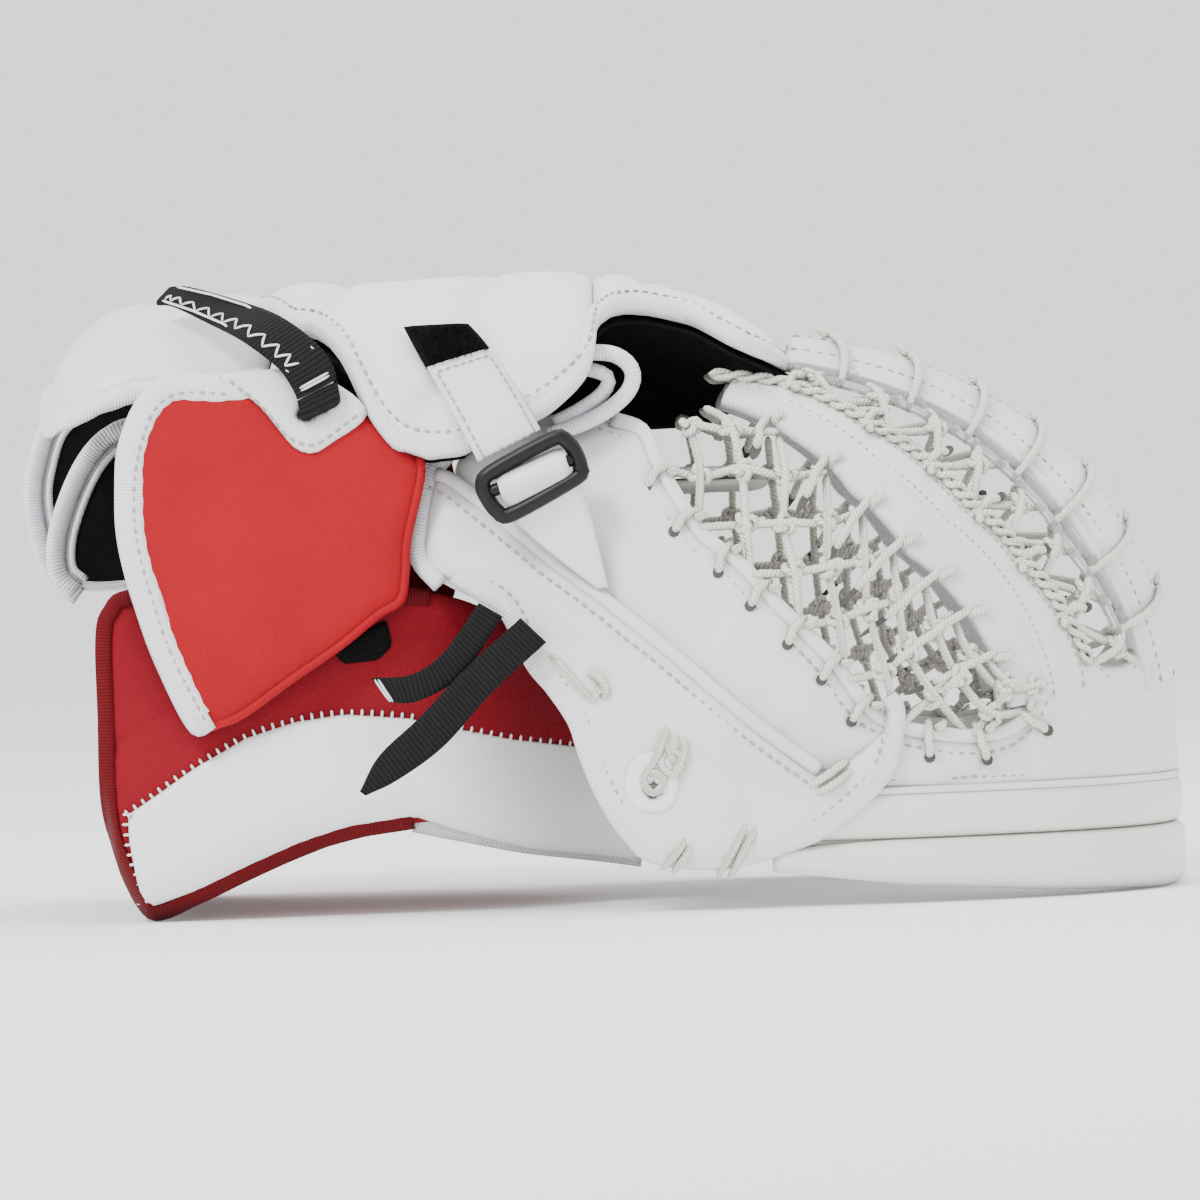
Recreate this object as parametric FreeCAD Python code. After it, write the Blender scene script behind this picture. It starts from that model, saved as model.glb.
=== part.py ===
"""Goalie catch glove, lying on its catching face with the thumb side towards -Y.

Units are millimetres. +X runs from the cuff to the tip of the pocket, +Z is up, and the
surface that the glove lies on is Z = 0. The shell is a rounded bowl, open downwards: its
outer surface is a superellipse, thumb side and finger side mirrored about the ridge plane.
"""

import math
import os

import FreeCAD
import Part

# ---- driving dimensions --------------------------------------------------------------
RIDGE_Y = 4.0  # plane of the pocket ridge, and mirror plane of the two walls
BOWL_X = 12.0  # where the bowl begins to close towards its tip
BOWL_LENGTH = 187.0  # from there to the tip
RIM_Z = 38.0  # top of the rim boards
BOWL_HEIGHT = 157.0  # from there to the ridge
BOWL_HALF = 114.0  # half width across the walls
POWER = 2.5  # squareness of the superellipse
WRIST_TAPER = 0.10  # share of width lost towards the wrist
TAPER_LENGTH = 90.0

SKIN = 5.0  # leather and thin foam of a wall's outer panels
WALL = 12.0  # stiff foam under them
GAP = 0.4  # between pieces that move past each other
STEP_X = 147.0  # where the side walls end and the tip wall begins
TIP_REACH = 0.81  # half width that the tip wall spans, as a share
RIM_STEP_Z = 21.0  # between the two tiers of the rim

CUFF_HALF = 94.0  # half width of the cuff about the ridge plane
CUFF_WALL = 14.0
FLAP_Y = (-100.0, -94.0)  # outer and inner face of the wrist flap
STRAP_THICK = 2.4
STALL_CLOTH = 1.6
LACE = 3.0  # lace diameter
TUBE = 3.4  # clear tube diameter


# ---- small helpers -------------------------------------------------------------------
def vec(point):
    return FreeCAD.Vector(*point)


def export(name, shape):
    if not shape.isValid() or shape.Volume <= 0:
        raise ValueError(name + " is not a valid solid")
    shape.exportStep("parts/" + name + ".step")


def between(x, table):
    """The value at x on straight runs through (x, value) pairs."""
    if x <= table[0][0]:
        return table[0][1]
    for (xa, a), (xb, b) in zip(table, table[1:]):
        if x <= xb:
            return a + (b - a) * (x - xa) / (xb - xa)
    return table[-1][1]


def loft(sections):
    """A solid through closed polygons with the same number of corners."""
    wires = [Part.makePolygon([vec(p) for p in s] + [vec(s[0])]) for s in sections]
    solid = Part.makeLoft(wires, True, True)
    if solid.Volume < 0:
        solid.reverse()
    return solid


def faceted(sections):
    """A solid through closed rings of points that need not be flat."""

    def triangle(a, b, c):
        return Part.Face(Part.makePolygon([a, b, c, a]))

    rings = [[vec(p) for p in s] for s in sections]
    faces = []
    for ring, following in zip(rings, rings[1:]):
        for i in range(len(ring)):
            j = (i + 1) % len(ring)
            faces.append(triangle(ring[i], ring[j], following[j]))
            faces.append(triangle(ring[i], following[j], following[i]))
    for ring in (rings[0], rings[-1]):
        last = len(ring) - 1
        for i in range(last // 2):
            faces.append(triangle(ring[i], ring[i + 1], ring[last - i]))
            if i + 1 < last - i - 1:
                faces.append(triangle(ring[i + 1], ring[last - i - 1], ring[last - i]))
    solid = Part.Solid(Part.makeShell(faces))
    if solid.Volume < 0:
        solid.reverse()
    return solid


def slab(outline, y0, y1):
    """A plate with the given X, Z outline between two Y planes."""
    wire = Part.makePolygon([vec((x, y0, z)) for x, z in outline + outline[:1]])
    return Part.Face(wire).extrude(vec((0, y1 - y0, 0)))


def soft_slab(outline, y0, y1):
    """The same plate with a smooth closed outline."""
    curve = Part.BSplineCurve()
    curve.interpolate([vec((x, y0, z)) for x, z in outline], PeriodicFlag=True)
    return Part.Face(Part.Wire(curve.toShape())).extrude(vec((0, y1 - y0, 0)))


def mirror(shape):
    return shape.mirror(vec((0, RIDGE_Y, 0)), vec((0, 1, 0)))


def group(solids):
    return Part.makeCompound(solids)


# ---- the bowl surface ----------------------------------------------------------------
def fullness(x, z):
    across = max(0.0, (x - BOWL_X) / BOWL_LENGTH) ** POWER
    up = max(0.0, (z - RIM_Z) / BOWL_HEIGHT) ** POWER
    return max(0.0, 1 - across - up) ** (1 / POWER)


def wall_y(x, z):
    """Y of the thumb side's outer surface."""
    taper = 1 - WRIST_TAPER * min(1.0, max(0.0, (BOWL_X - x) / TAPER_LENGTH))
    return RIDGE_Y - BOWL_HALF * taper * fullness(x, z)


def ridge_point(angle, u, depth):
    """A point on the pocket at an angle over the ridge, u across it, sunk by depth."""
    size = (1 - u**POWER) ** (1 / POWER)
    x = size * math.cos(angle) ** (2 / POWER)
    z = size * math.sin(angle) ** (2 / POWER)
    normal = vec(
        (
            x ** (POWER - 1) / BOWL_LENGTH,
            -(u ** (POWER - 1)) / BOWL_HALF,
            z ** (POWER - 1) / BOWL_HEIGHT,
        )
    ).normalize()
    at = vec((BOWL_X + BOWL_LENGTH * x, RIDGE_Y - BOWL_HALF * u, RIM_Z + BOWL_HEIGHT * z))
    return at - normal * depth


def wall_band(stations, low, high, front, thick, rows=5):
    """A wall piece between two heights, each a table over x, sunk by front."""
    sections = []
    for x in stations:
        z0, z1 = between(x, low), between(x, high)
        heights = [z0 + (z1 - z0) * i / (rows - 1) for i in range(rows)]
        outer = [(x, wall_y(x, z) + front, z) for z in heights]
        inner = [(x, wall_y(x, z) + front + thick, z) for z in reversed(heights)]
        sections.append(outer + inner)
    return loft(sections)


def ridge_band(near, far, top, thick, stations):
    """A strip over the ridge, between two u tables over the angle in degrees."""
    sections = []
    for degrees in stations:
        angle = math.radians(degrees)
        a, b = between(degrees, near), between(degrees, far)
        middle = (a + b) / 2
        outer = [ridge_point(angle, u, top) for u in (a, middle, b)]
        inner = [ridge_point(angle, u, top + thick) for u in (b, middle, a)]
        sections.append([tuple(p) for p in outer + inner])
    return faceted(sections)


# ---- outlines shared by both sides ---------------------------------------------------
# Upper edge of the side wall over x: it falls from the palm to the pocket's scallop.
WALL_TOP = [(4, 166), (16, 163), (24, 146), (35, 128), (61, 102), (92, 64), (127, 56), (147, 60)]
BAND_X = [-22, 4, 16, 24, 35, 61, 92, 127, 147]
RIM_BOTTOM = [(55, 12), (190, 0)]


def side_wall():
    return wall_band(BAND_X, [(-22, 40), (147, 40)], WALL_TOP, SKIN + GAP, WALL)


def side_plate():
    """The stiff plastic sheet that lies on the inside of the foam."""
    front = SKIN + GAP + WALL + 2.2
    high = [(-10, 150), (24, 136), (50, 106)]
    return wall_band([-10, 4, 24, 50], [(-10, 60), (50, 60)], high, front, 2.0)


def rim_tier(z_low, z_high, front, thick, start):
    stations = [start, 70, 100, 125, 146.5]
    return wall_band(stations, z_low, z_high, front, thick, rows=3)


def rim_upper():
    return rim_tier([(0, RIM_STEP_Z + GAP)], [(0, RIM_Z + 1.5)], 1.0, 20.0, 20)


def rim_lower():
    return rim_tier(RIM_BOTTOM, [(0, RIM_STEP_Z)], -1.0, 22.0, 55)


def tip_band(z_low, z_high, front, thick):
    """A piece of wall round the tip, from one side wall's end to the other's."""
    sections = []
    for step in range(-9, 10):
        side = TIP_REACH * step / 9
        reach = (1 - abs(side) ** POWER) ** (1 / POWER)
        x = BOWL_X + BOWL_LENGTH * reach
        lean = math.copysign(abs(side) ** (POWER - 1), side) / BOWL_HALF
        slope = vec((reach ** (POWER - 1) / BOWL_LENGTH, lean, 0)).normalize()
        top = z_high(side)
        at = vec((x, RIDGE_Y + BOWL_HALF * side, 0)) - slope * front
        back = at - slope * thick
        sections.append(
            [(at.x, at.y, z_low), (at.x, at.y, top), (back.x, back.y, top), (back.x, back.y, z_low)]
        )
    beside = Part.makeBox(STEP_X + GAP, 400, 200, vec((0, -200, -1)))
    return loft(sections).cut(beside)


# ---- thumb side ----------------------------------------------------------------------
def thumb_panel():
    """Leather over the thumb, between the folded seam and the net."""
    low = [(-40, 138), (-15, 118), (23, 87), (72, 46), (101, 43), (147, 43)]
    high = [(-40, 147), (-22, 166), (4, 169), (16, 166)] + WALL_TOP[2:]
    return wall_band([-35] + BAND_X, low, high, GAP, SKIN - 2 * GAP)


def thumb_apron():
    """The laced leather shell below the folded seam."""
    low = [(-36, 114), (-30, 100), (-12, 66), (2, 31), (15, 17), (40, 15), (61, 19), (86, 33), (96, 46)]
    high = [(-39, 137), (-15, 117), (23, 86), (72, 47.2), (96, 48)]
    stations = [-35, -26, -12, 2, 15, 35, 61, 80, 94]
    return wall_band(stations, low, high, -4.6, 3.4)


def stall(start, radius, length):
    """A cloth tube for a thumb or finger, closed at its far end."""
    along = vec((1, 0, 0))
    bore = Part.makeCylinder(radius - STALL_CLOTH, length - STALL_CLOTH, vec(start), along)
    return Part.makeCylinder(radius, length, vec(start), along).cut(bore)


def thumb_stall():
    return stall((-18, RIDGE_Y - 64, 108), 13, 80)


def lace_run(points):
    """A lace in straight runs with round joints."""
    solid = None
    for a, b in zip(points, points[1:]):
        a, b = vec(a), vec(b)
        run = Part.makeCylinder(LACE / 2, (b - a).Length, a, b - a)
        solid = run if solid is None else solid.fuse(run)
        solid = solid.fuse(Part.makeSphere(LACE / 2, b))
    return solid


def on_apron(x, z, proud=6.2):
    return (x, wall_y(x, z) - proud, z)


def apron_laces():
    runs = [
        [(-18, 88), (-8, 80), (0, 74)],
        [(22, 64), (25, 58), (22, 52)],
        [(27, 30), (24, 22), (19, 17)],
        [(48, 33), (41, 24), (37, 17)],
        [(81, 48), (73, 43), (66, 38)],
    ]
    return group([lace_run([on_apron(x, z) for x, z in run]) for run in runs])


def lace_washer():
    x, z = 16, 42
    at = vec(on_apron(x, z, 6.5))
    disc = Part.makeCylinder(8, 1.6, at, vec((0, 1, 0)))
    return disc.cut(Part.makeCylinder(1.8, 4, at - vec((0, 1, 0)), vec((0, 1, 0))))


# ---- finger side ---------------------------------------------------------------------
def finger_panel():
    high = [(-22, 166), (4, 169), (16, 166)] + WALL_TOP[2:]
    return mirror(wall_band(BAND_X, [(-22, 43), (147, 43)], high, 0.4, SKIN - 0.8))


def finger_stall(index):
    """One of the four tubes that the fingers go in."""
    length = (62, 74, 70, 56)[index]
    return stall((-15, RIDGE_Y + 64, 120 - 23.5 * index), 11.5, length)


# ---- pocket --------------------------------------------------------------------------
RIDGE_NEAR = [(12, 0.45), (30, 0.50), (77, 0.42)]
NEAR_STRIP_HIGH = [(14, 0.66), (30, 0.70), (46, 0.70), (64, 0.64), (76, 0.56)]
MIDDLE_NET = [15, 22, 32, 46, 58, 68, 74]  # angles, in degrees
NEAR_STRIP_LOW = [(14, 0.82), (46, 0.83), (61, 0.79), (72, 0.72), (84, 0.63)]


def ridge_strip():
    return ridge_band(RIDGE_NEAR, [(12, 0.0)], 1.0, 5.0, [12, 18, 26, 35, 45, 55, 65, 75])


def near_strip():
    return ridge_band(NEAR_STRIP_LOW, NEAR_STRIP_HIGH, 1.0, 4.0, [14, 22, 32, 46, 58, 68, 77, 83])


def ridge_core():
    """The plastic spine under the ridge strip."""
    return ridge_band([(12, 0.30)], [(12, 0.08)], 8.0, 2.0, [18, 26, 35, 45, 55, 65, 73])


def middle_net():
    high = [(k, u + 0.012) for k, u in RIDGE_NEAR]
    low = [(k, u - 0.012) for k, u in NEAR_STRIP_HIGH]
    return ridge_band(low, high, 2.0, LACE, MIDDLE_NET)


def far_middle_net():
    low = [(k, u - 0.02) for k, u in NEAR_STRIP_HIGH]
    return mirror(ridge_band(low, [(12, 0.02)], 2.0, LACE, MIDDLE_NET))


def tube(offset):
    """A clear tube under the ridge strip's inner edge."""
    wires = []
    for degrees in (14, 22, 32, 43, 54, 65, 74):
        angle = math.radians(degrees)
        u = between(degrees, RIDGE_NEAR) - 0.02
        at = ridge_point(angle, u, 9.5 + offset)
        ahead = ridge_point(angle + 0.02, u, 9.5 + offset) - at
        wires.append(Part.Wire(Part.makeCircle(TUBE / 2, at, ahead)))
    return Part.makeLoft(wires, True, False)


def side_net():
    """Laced net from the thumb wall's edge up to the near strip."""
    low = [(k, z + 1.0) for k, z in WALL_TOP]
    high = [(20, 171), (38, 168), (57, 158), (69, 148), (87, 132), (107, 110), (126, 86), (136, 72)]
    return wall_band([24, 35, 48, 61, 78, 92, 110, 126], low, high, 2.0, LACE)


def tip_rim_lower():
    """Trimmed level underneath, where the glove rests."""
    under = Part.makeBox(400, 400, 10, vec((0, -200, -10)))
    return tip_band(-1.0, lambda side: RIM_STEP_Z, -1.0, 24.0).cut(under)


def tip_wall():
    return tip_band(40.0, lambda side: 79 - 26 * abs(side) ** 2, 1.0, 5.0)


# ---- hand: palm, back pad, straps ----------------------------------------------------
def palm_board():
    outline = [(-60, -40), (-40, -44), (40, -44), (58, -20), (58, 28), (40, 52), (-40, 52), (-60, 48)]
    wire = Part.makePolygon([vec((x, y, 146)) for x, y in outline + outline[:1]])
    return Part.Face(wire).extrude(vec((0, 0, 5)))


def palm_leather():
    return palm_board().translated(vec((0, 0, -6.4)))


def heel_pad():
    """Foam roll at the heel of the hand, which closes the palm towards the wrist."""
    heel = Part.makeBox(16, 92, 26, vec((-78, -42, 128)))
    return heel.makeFillet(6, [e for e in heel.Edges if abs(e.tangentAt(0).y) > 0.9])


# The pad's section: share of its rise over y.
PAD_ARC = [
    (-98, 0), (-93, 0.42), (-78, 0.74), (-45, 0.95), (4, 1.0), (53, 0.95), (84, 0.74), (98, 0.42), (104, 0),
]
PAD_THICK = 9.0
PAD_LOW = [
    (-114, 205), (-100, 199), (-84, 184), (-70, 166), (-57, 157), (-45, 158), (-20, 170), (-4, 183), (0, 196),
]
PAD_TOP = [(-114, 210), (-98, 214), (-17, 215), (7, 215), (34, 207), (47, 201), (66, 187)]


def pad_section(x, z_low, z_top):
    """The arched section of the back pad: near edge at z_low, crown at z_top."""
    base = min(z_low, z_top - 8)
    start = min(base, 165)
    outer = []
    for y, rise in PAD_ARC:
        z = start + (z_top - start) * rise
        outer.append((x, y, z))
    # the near edge is cut where the pad's outline ends
    near = [(x, pad_y(base, z_top, start), base)] + [p for p in outer if p[2] > base + 0.5 or p[1] > RIDGE_Y]
    while len(near) < len(outer):
        a, b = near[0], near[1]
        near.insert(1, tuple((i + j) / 2 for i, j in zip(a, b)))
    near = near[: len(outer)]
    centre = vec((x, RIDGE_Y, z_top - 70))
    inner = []
    for p in reversed(near):
        out = (vec(p) - centre).normalize()
        inner.append(tuple(vec(p) - out * PAD_THICK))
    return near + inner


def pad_y(z, z_top, start):
    """Y of the back pad's thumb side at a height."""
    rise = (z - start) / (z_top - start)
    near = [(r, y) for y, r in PAD_ARC[:5]]
    return between(rise, near)


def back_pad():
    stations = [-112, -100, -84, -70, -57, -45, -20, -4, -0.5]
    return loft([pad_section(x, between(x, PAD_LOW), between(x, PAD_TOP)) for x in stations])


def knuckle_pad():
    low = [(0, 196), (13, 204), (34, 202), (54, 190), (64, 182)]
    stations = [0.5, 13, 34, 54, 64]
    return loft([pad_section(x, between(x, low), between(x, PAD_TOP)) for x in stations])


def heel_leather():
    """The palm leather's corner at the wrist, behind the thumb."""
    low, high = [(-54, 120), (-36, 114)], [(-54, 146), (-36, 150)]
    return wall_band([-54, -45, -36], low, high, GAP, SKIN - 2 * GAP)


def strap_between(rows, thick):
    """A flat strap through rows of (left, right) edge points, thickened towards +Y."""
    sections = []
    for a, b in rows:
        sections.append([a, b, (b[0], b[1] + thick, b[2]), (a[0], a[1] + thick, a[2])])
    return faceted(sections)


def hand_tab():
    rows = [((-56, 185), (-34, 191)), ((-49, 172), (-27, 180)), ((-40, 153), (-18, 166))]
    return strap_between([(tab_point(*a), tab_point(*b)) for a, b in rows], STRAP_THICK)


def tab_point(x, z):
    return (x, -108.0 + 0.32 * max(0.0, z - 160), z)


def hook_patch():
    rows = [((-63, 199), (-42, 200)), ((-58, 190), (-37, 195)), ((-56.4, 185.8), (-34.6, 191.6))]
    return strap_between([(tab_point(*a), tab_point(*b)) for a, b in rows], STRAP_THICK)


def buckle():
    """Tri-glide: a frame with a centre bar and two slots."""
    outline = [(-40, 148), (-15, 163), (-7, 161), (-3, 148), (-8, 144), (-31, 133), (-36, 135), (-41, 144)]
    plate = slab(outline, -112.5, -109.5)
    slot = [(-34, 149), (-13.5, 158.5), (-12, 155), (-32.5, 145.5)]
    for step in (0, 1):
        moved = [(x + 3.6 * step, z - 7.2 * step) for x, z in slot]
        plate = plate.cut(slab(moved, -114, -108))
    return plate


def thumb_strap():
    """Leather strap from the thumb's base up to the buckle."""
    rows = [((-31, 140), (-8, 151)), ((-27, 131), (-3, 138)), ((-12, 118), (1, 120)), ((0, 110), (3, 109))]
    return strap_between([((a[0], -106.5, a[1]), (b[0], -106.5, b[1])) for a, b in rows], STRAP_THICK)


def elastic_tab():
    outline = [(2, 190), (9, 188), (14, 182), (11, 175), (3, 170), (-6, 167), (-9, 169), (-3, 179)]
    ring = soft_slab(outline, -80, -76)
    return ring.cut(Part.makeCylinder(5, 8, vec((2, -82, 180)), vec((0, 1, 0))))


# ---- cuff ----------------------------------------------------------------------------
CUFF_BOTTOM = [(-171, 38), (-167, 18), (-157, 0), (-140, 5), (-122, 13), (-105, 20), (-65, 29), (-40, 25)]
CUFF_TOP = [(-171, 96), (-167, 106), (-160, 112), (-40, 112)]
CUFF_X = [-171, -167, -157, -140, -122, -105, -65, -40]


def trough(stations, low, top_near, half, wall, far_drop=22.0):
    """A channel round the underside of the wrist, open upwards."""
    sections = []
    for x in stations:
        z0, z1 = between(x, low), between(x, top_near)
        near, far = RIDGE_Y - half, RIDGE_Y + half
        z2 = z1 - far_drop
        sections.append(
            [
                (x, near, z1), (x, near, z0 + 10), (x, near + 8, z0), (x, far - 8, z0), (x, far, z0 + 10),
                (x, far, z2), (x, far - wall, z2), (x, far - wall, z0 + wall + 6),
                (x, far - wall - 6, z0 + wall), (x, near + wall + 6, z0 + wall),
                (x, near + wall, z0 + wall + 6), (x, near + wall, z1),
            ]
        )
    return loft(sections)


def cuff_shell():
    return trough(CUFF_X, CUFF_BOTTOM, CUFF_TOP, CUFF_HALF, CUFF_WALL)


def cuff_liner():
    low = [(x, z + CUFF_WALL + GAP) for x, z in CUFF_BOTTOM]
    top = [(x, z - 3) for x, z in CUFF_TOP]
    return trough(CUFF_X[2:], low, top, CUFF_HALF - CUFF_WALL - GAP, 2.5)


def cuff_panel():
    """Smooth leather panel with a long curved upper edge."""
    top = [(-164, 36), (-155, 42), (-140, 52), (-122, 62), (-105, 67), (-88, 69), (-66, 67), (-40, 60)]
    bottom = [(-40, 36), (-65, 40), (-105, 31), (-140, 16), (-157, 11), (-162, 14)]
    outer = RIDGE_Y - CUFF_HALF
    return slab(top + bottom, outer - 2.0, outer - 0.1)


def cuff_hook_tab():
    outer = RIDGE_Y - CUFF_HALF
    return slab([(-92, 90), (-73, 100), (-72, 92), (-76, 88), (-88, 87)], outer - 1.8, outer - 0.1)


# ---- wrist wraps ---------------------------------------------------------------------
def wrist_flap():
    outline = [
        (-128, 185), (-143, 186), (-152, 181), (-158, 172), (-163, 155), (-163, 134), (-157, 106), (-151, 88),
        (-141, 66), (-126, 69), (-105, 81), (-88, 92), (-67, 107), (-64, 128), (-59, 150), (-62, 158),
        (-77, 171), (-90, 161), (-96, 158), (-102, 160), (-107, 166), (-115, 176),
    ]
    return slab(outline, *FLAP_Y)


def flap_yoke():
    outline = [
        (-128, 185.5), (-115, 176.5), (-107, 166.5), (-102, 160.5), (-96, 158.5), (-90, 161.5), (-77, 171.5),
        (-86, 180), (-97, 185.5), (-113, 186),
    ]
    slot = [(-101, 172), (-99, 169.5), (-85, 176), (-87, 178.5)]
    return slab(outline, *FLAP_Y).cut(slab(slot, FLAP_Y[0] - 1, FLAP_Y[1] + 1))


def wrist_strap():
    rows = [
        ((-98.6, -103.4, 172.4), (-88.4, -103.4, 177)), ((-100, -103.4, 177), (-87, -103.4, 184)),
        ((-106, -103.4, 187), (-93, -103.4, 195)), ((-118, -95, 197), (-106, -95, 204)),
        ((-130, -73, 204), (-122, -73, 211)), ((-146, -50, 211.5), (-140, -50, 217)),
    ]
    return strap_between(rows, STRAP_THICK)


def top_wrap_section(x, top, grow, thick):
    arc = [(-66, -18), (-50, -8), (-20, -1), (10, 0), (40, -4), (60, -12)]
    outer = [(x, y, top + z - grow) for y, z in arc]
    return outer + [(x, y, z - thick) for _, y, z in reversed(outer)]


TOP_WRAP = [(-188, 186), (-182, 197), (-170, 205), (-146, 208), (-112, 206)]


def top_wrist_wrap():
    return loft([top_wrap_section(x, top, 0.0, 7.0) for x, top in TOP_WRAP])


def top_wrap_lining():
    return loft([top_wrap_section(x, top, 7.0, 2.0) for x, top in TOP_WRAP])


def outer_wrist_wrap():
    outline = [
        (-146, 184), (-162, 183), (-175, 180), (-186, 175), (-194, 167), (-198, 158), (-200, 147),
        (-199, 135), (-196, 123), (-190, 115), (-181, 114), (-114, 114), (-114, 184),
    ]
    return slab(outline, 82, 92)


def inner_wrist_wrap():
    outline = [
        (-120, 172), (-161, 168), (-171, 165), (-178, 159), (-184, 149), (-189, 136), (-191, 126),
        (-190, 118),
        (-184, 114), (-110, 114), (-110, 170),
    ]
    return slab(outline, 60, 68)


def wrist_cloth():
    """Soft cloth between the wrist flap and the thumb."""
    return soft_slab([(-57, 151), (-44, 147), (-50, 132), (-57, 121), (-62, 121), (-62, 134)], -74, -69)


# ---- adjusting straps ----------------------------------------------------------------
def tail(y, rows):
    return strap_between([((a[0], y, a[1]), (b[0], y, b[1])) for a, b in rows], STRAP_THICK)


def upper_tail():
    return tail(
        -113.0,
        [((-41, 106), (-33, 101)), ((-50, 93), (-42, 87)), ((-65, 82), (-58, 73)), ((-79, 84), (-73, 73))],
    )


def lower_tail():
    return tail(
        -116.6,
        [((-26, 100), (-19, 92)), ((-38, 85), (-30, 77)), ((-58, 70), (-50, 61)), ((-76, 58), (-68, 48)),
         ((-83.5, 43.5), (-82.5, 42.5))]
    )


# ---- the whole glove -----------------------------------------------------------------
PIECES = {
    "palm_board": palm_board,
    "palm_leather": palm_leather,
    "heel_pad": heel_pad,
    "heel_leather": heel_leather,
    "back_pad": back_pad,
    "knuckle_pad": knuckle_pad,
    "ridge_strip": ridge_strip,
    "ridge_core": ridge_core,
    "near_strip": near_strip,
    "far_strip": lambda: mirror(near_strip()),
    "clear_tube_outer": lambda: tube(0.0),
    "clear_tube_inner": lambda: tube(TUBE + 0.3),
    "middle_net": middle_net,
    "far_middle_net": far_middle_net,
    "thumb_side_net": side_net,
    "finger_side_net": lambda: mirror(side_net()),
    "tip_wall": tip_wall,
    "tip_rim_upper": lambda: tip_band(RIM_STEP_Z + GAP, lambda side: RIM_Z + 1.5, 1.0, 20.0),
    "tip_rim_lower": tip_rim_lower,
    "outer_wrist_wrap": outer_wrist_wrap,
    "inner_wrist_wrap": inner_wrist_wrap,
    "wrist_cloth": wrist_cloth,
    "thumb_strap": thumb_strap,
    "elastic_tab": elastic_tab,
    "thumb_wall_foam": side_wall,
    "thumb_plate": side_plate,
    "thumb_panel": thumb_panel,
    "thumb_apron": thumb_apron,
    "thumb_stall": thumb_stall,
    "thumb_rim_upper": rim_upper,
    "thumb_rim_lower": rim_lower,
    "apron_laces": apron_laces,
    "lace_washer": lace_washer,
    "finger_wall_foam": lambda: mirror(side_wall()),
    "finger_plate": lambda: mirror(side_plate()),
    "finger_panel": finger_panel,
    "finger_rim_upper": lambda: mirror(rim_upper()),
    "finger_rim_lower": lambda: mirror(rim_lower()),
    "cuff_shell": cuff_shell,
    "cuff_liner": cuff_liner,
    "cuff_panel": cuff_panel,
    "cuff_hook_tab": cuff_hook_tab,
    "wrist_flap": wrist_flap,
    "flap_yoke": flap_yoke,
    "wrist_strap": wrist_strap,
    "top_wrist_wrap": top_wrist_wrap,
    "top_wrap_lining": top_wrap_lining,
    "hand_tab": hand_tab,
    "hook_patch": hook_patch,
    "buckle": buckle,
    "adjusting_strap_upper": upper_tail,
    "adjusting_strap_lower": lower_tail,
}


def main():
    os.makedirs("parts", exist_ok=True)
    for name, make in PIECES.items():
        export(name, make())
    for index, finger in enumerate(("index", "middle", "ring", "little")):
        export("finger_stall_" + finger, finger_stall(index))


main()
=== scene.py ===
import bmesh
import bpy
import math
import numpy as np
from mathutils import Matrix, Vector, noise
from mathutils.geometry import delaunay_2d_cdt


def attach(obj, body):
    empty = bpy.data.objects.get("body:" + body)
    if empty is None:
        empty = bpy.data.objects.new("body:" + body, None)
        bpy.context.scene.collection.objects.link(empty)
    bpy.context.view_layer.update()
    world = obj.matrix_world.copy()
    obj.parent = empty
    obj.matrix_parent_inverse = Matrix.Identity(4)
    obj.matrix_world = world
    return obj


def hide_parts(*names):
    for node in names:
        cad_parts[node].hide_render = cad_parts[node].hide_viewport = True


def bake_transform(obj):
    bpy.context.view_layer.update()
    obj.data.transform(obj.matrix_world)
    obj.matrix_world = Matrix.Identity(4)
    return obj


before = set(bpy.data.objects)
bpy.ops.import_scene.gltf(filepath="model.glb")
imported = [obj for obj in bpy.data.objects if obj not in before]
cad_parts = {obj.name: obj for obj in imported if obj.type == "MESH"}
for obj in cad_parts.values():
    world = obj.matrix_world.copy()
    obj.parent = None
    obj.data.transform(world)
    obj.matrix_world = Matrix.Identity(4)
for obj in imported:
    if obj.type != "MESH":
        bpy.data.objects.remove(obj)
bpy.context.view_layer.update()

# Every shape below is in millimetres in the CAD frame. It becomes metres in new_object().
MM = 0.001
PI = math.pi

# ---- the glove's bowl, as the CAD has it -------------------------------------------------
RIDGE_Y = 4.0
BOWL_X = 12.0
BOWL_LENGTH = 187.0
RIM_Z = 38.0
BOWL_HEIGHT = 157.0
BOWL_HALF = 114.0
POWER = 2.5
WRIST_TAPER = 0.10
TAPER_LENGTH = 90.0
RIM_STEP_Z = 21.0
LACE_R = 1.45

WALL_TOP = [(4, 166), (16, 163), (20, 154), (24, 146), (35, 128), (48, 117), (61, 102), (78, 84), (90, 67),
            (101, 60), (115, 57), (127, 56), (138, 58), (147, 66)]
RIM_BOTTOM = [(40, 15), (55, 12), (100, 6), (150, 2), (190, 0)]


def between(x, table):
    return float(np.interp(x, [t[0] for t in table], [t[1] for t in table]))


def wall_y(x, z):
    """Y of the thumb side's outer surface."""
    taper = 1 - WRIST_TAPER * min(1.0, max(0.0, (BOWL_X - x) / TAPER_LENGTH))
    across = max(0.0, (x - BOWL_X) / BOWL_LENGTH) ** POWER
    up = max(0.0, (z - RIM_Z) / BOWL_HEIGHT) ** POWER
    return RIDGE_Y - BOWL_HALF * taper * max(0.0, 1 - across - up) ** (1 / POWER)


def wall(x, z, h):
    """A point of the thumb wall, h proud of it along the surface's normal."""
    d = 1.5
    slope_x = max(-3.0, min(3.0, (wall_y(x + d, z) - wall_y(x - d, z)) / (2 * d)))
    slope_z = max(-3.0, min(3.0, (wall_y(x, z + d) - wall_y(x, z - d)) / (2 * d)))
    normal = Vector((slope_x, -1, slope_z)).normalized()
    return Vector((x, wall_y(x, z), z)) + normal * h


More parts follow.
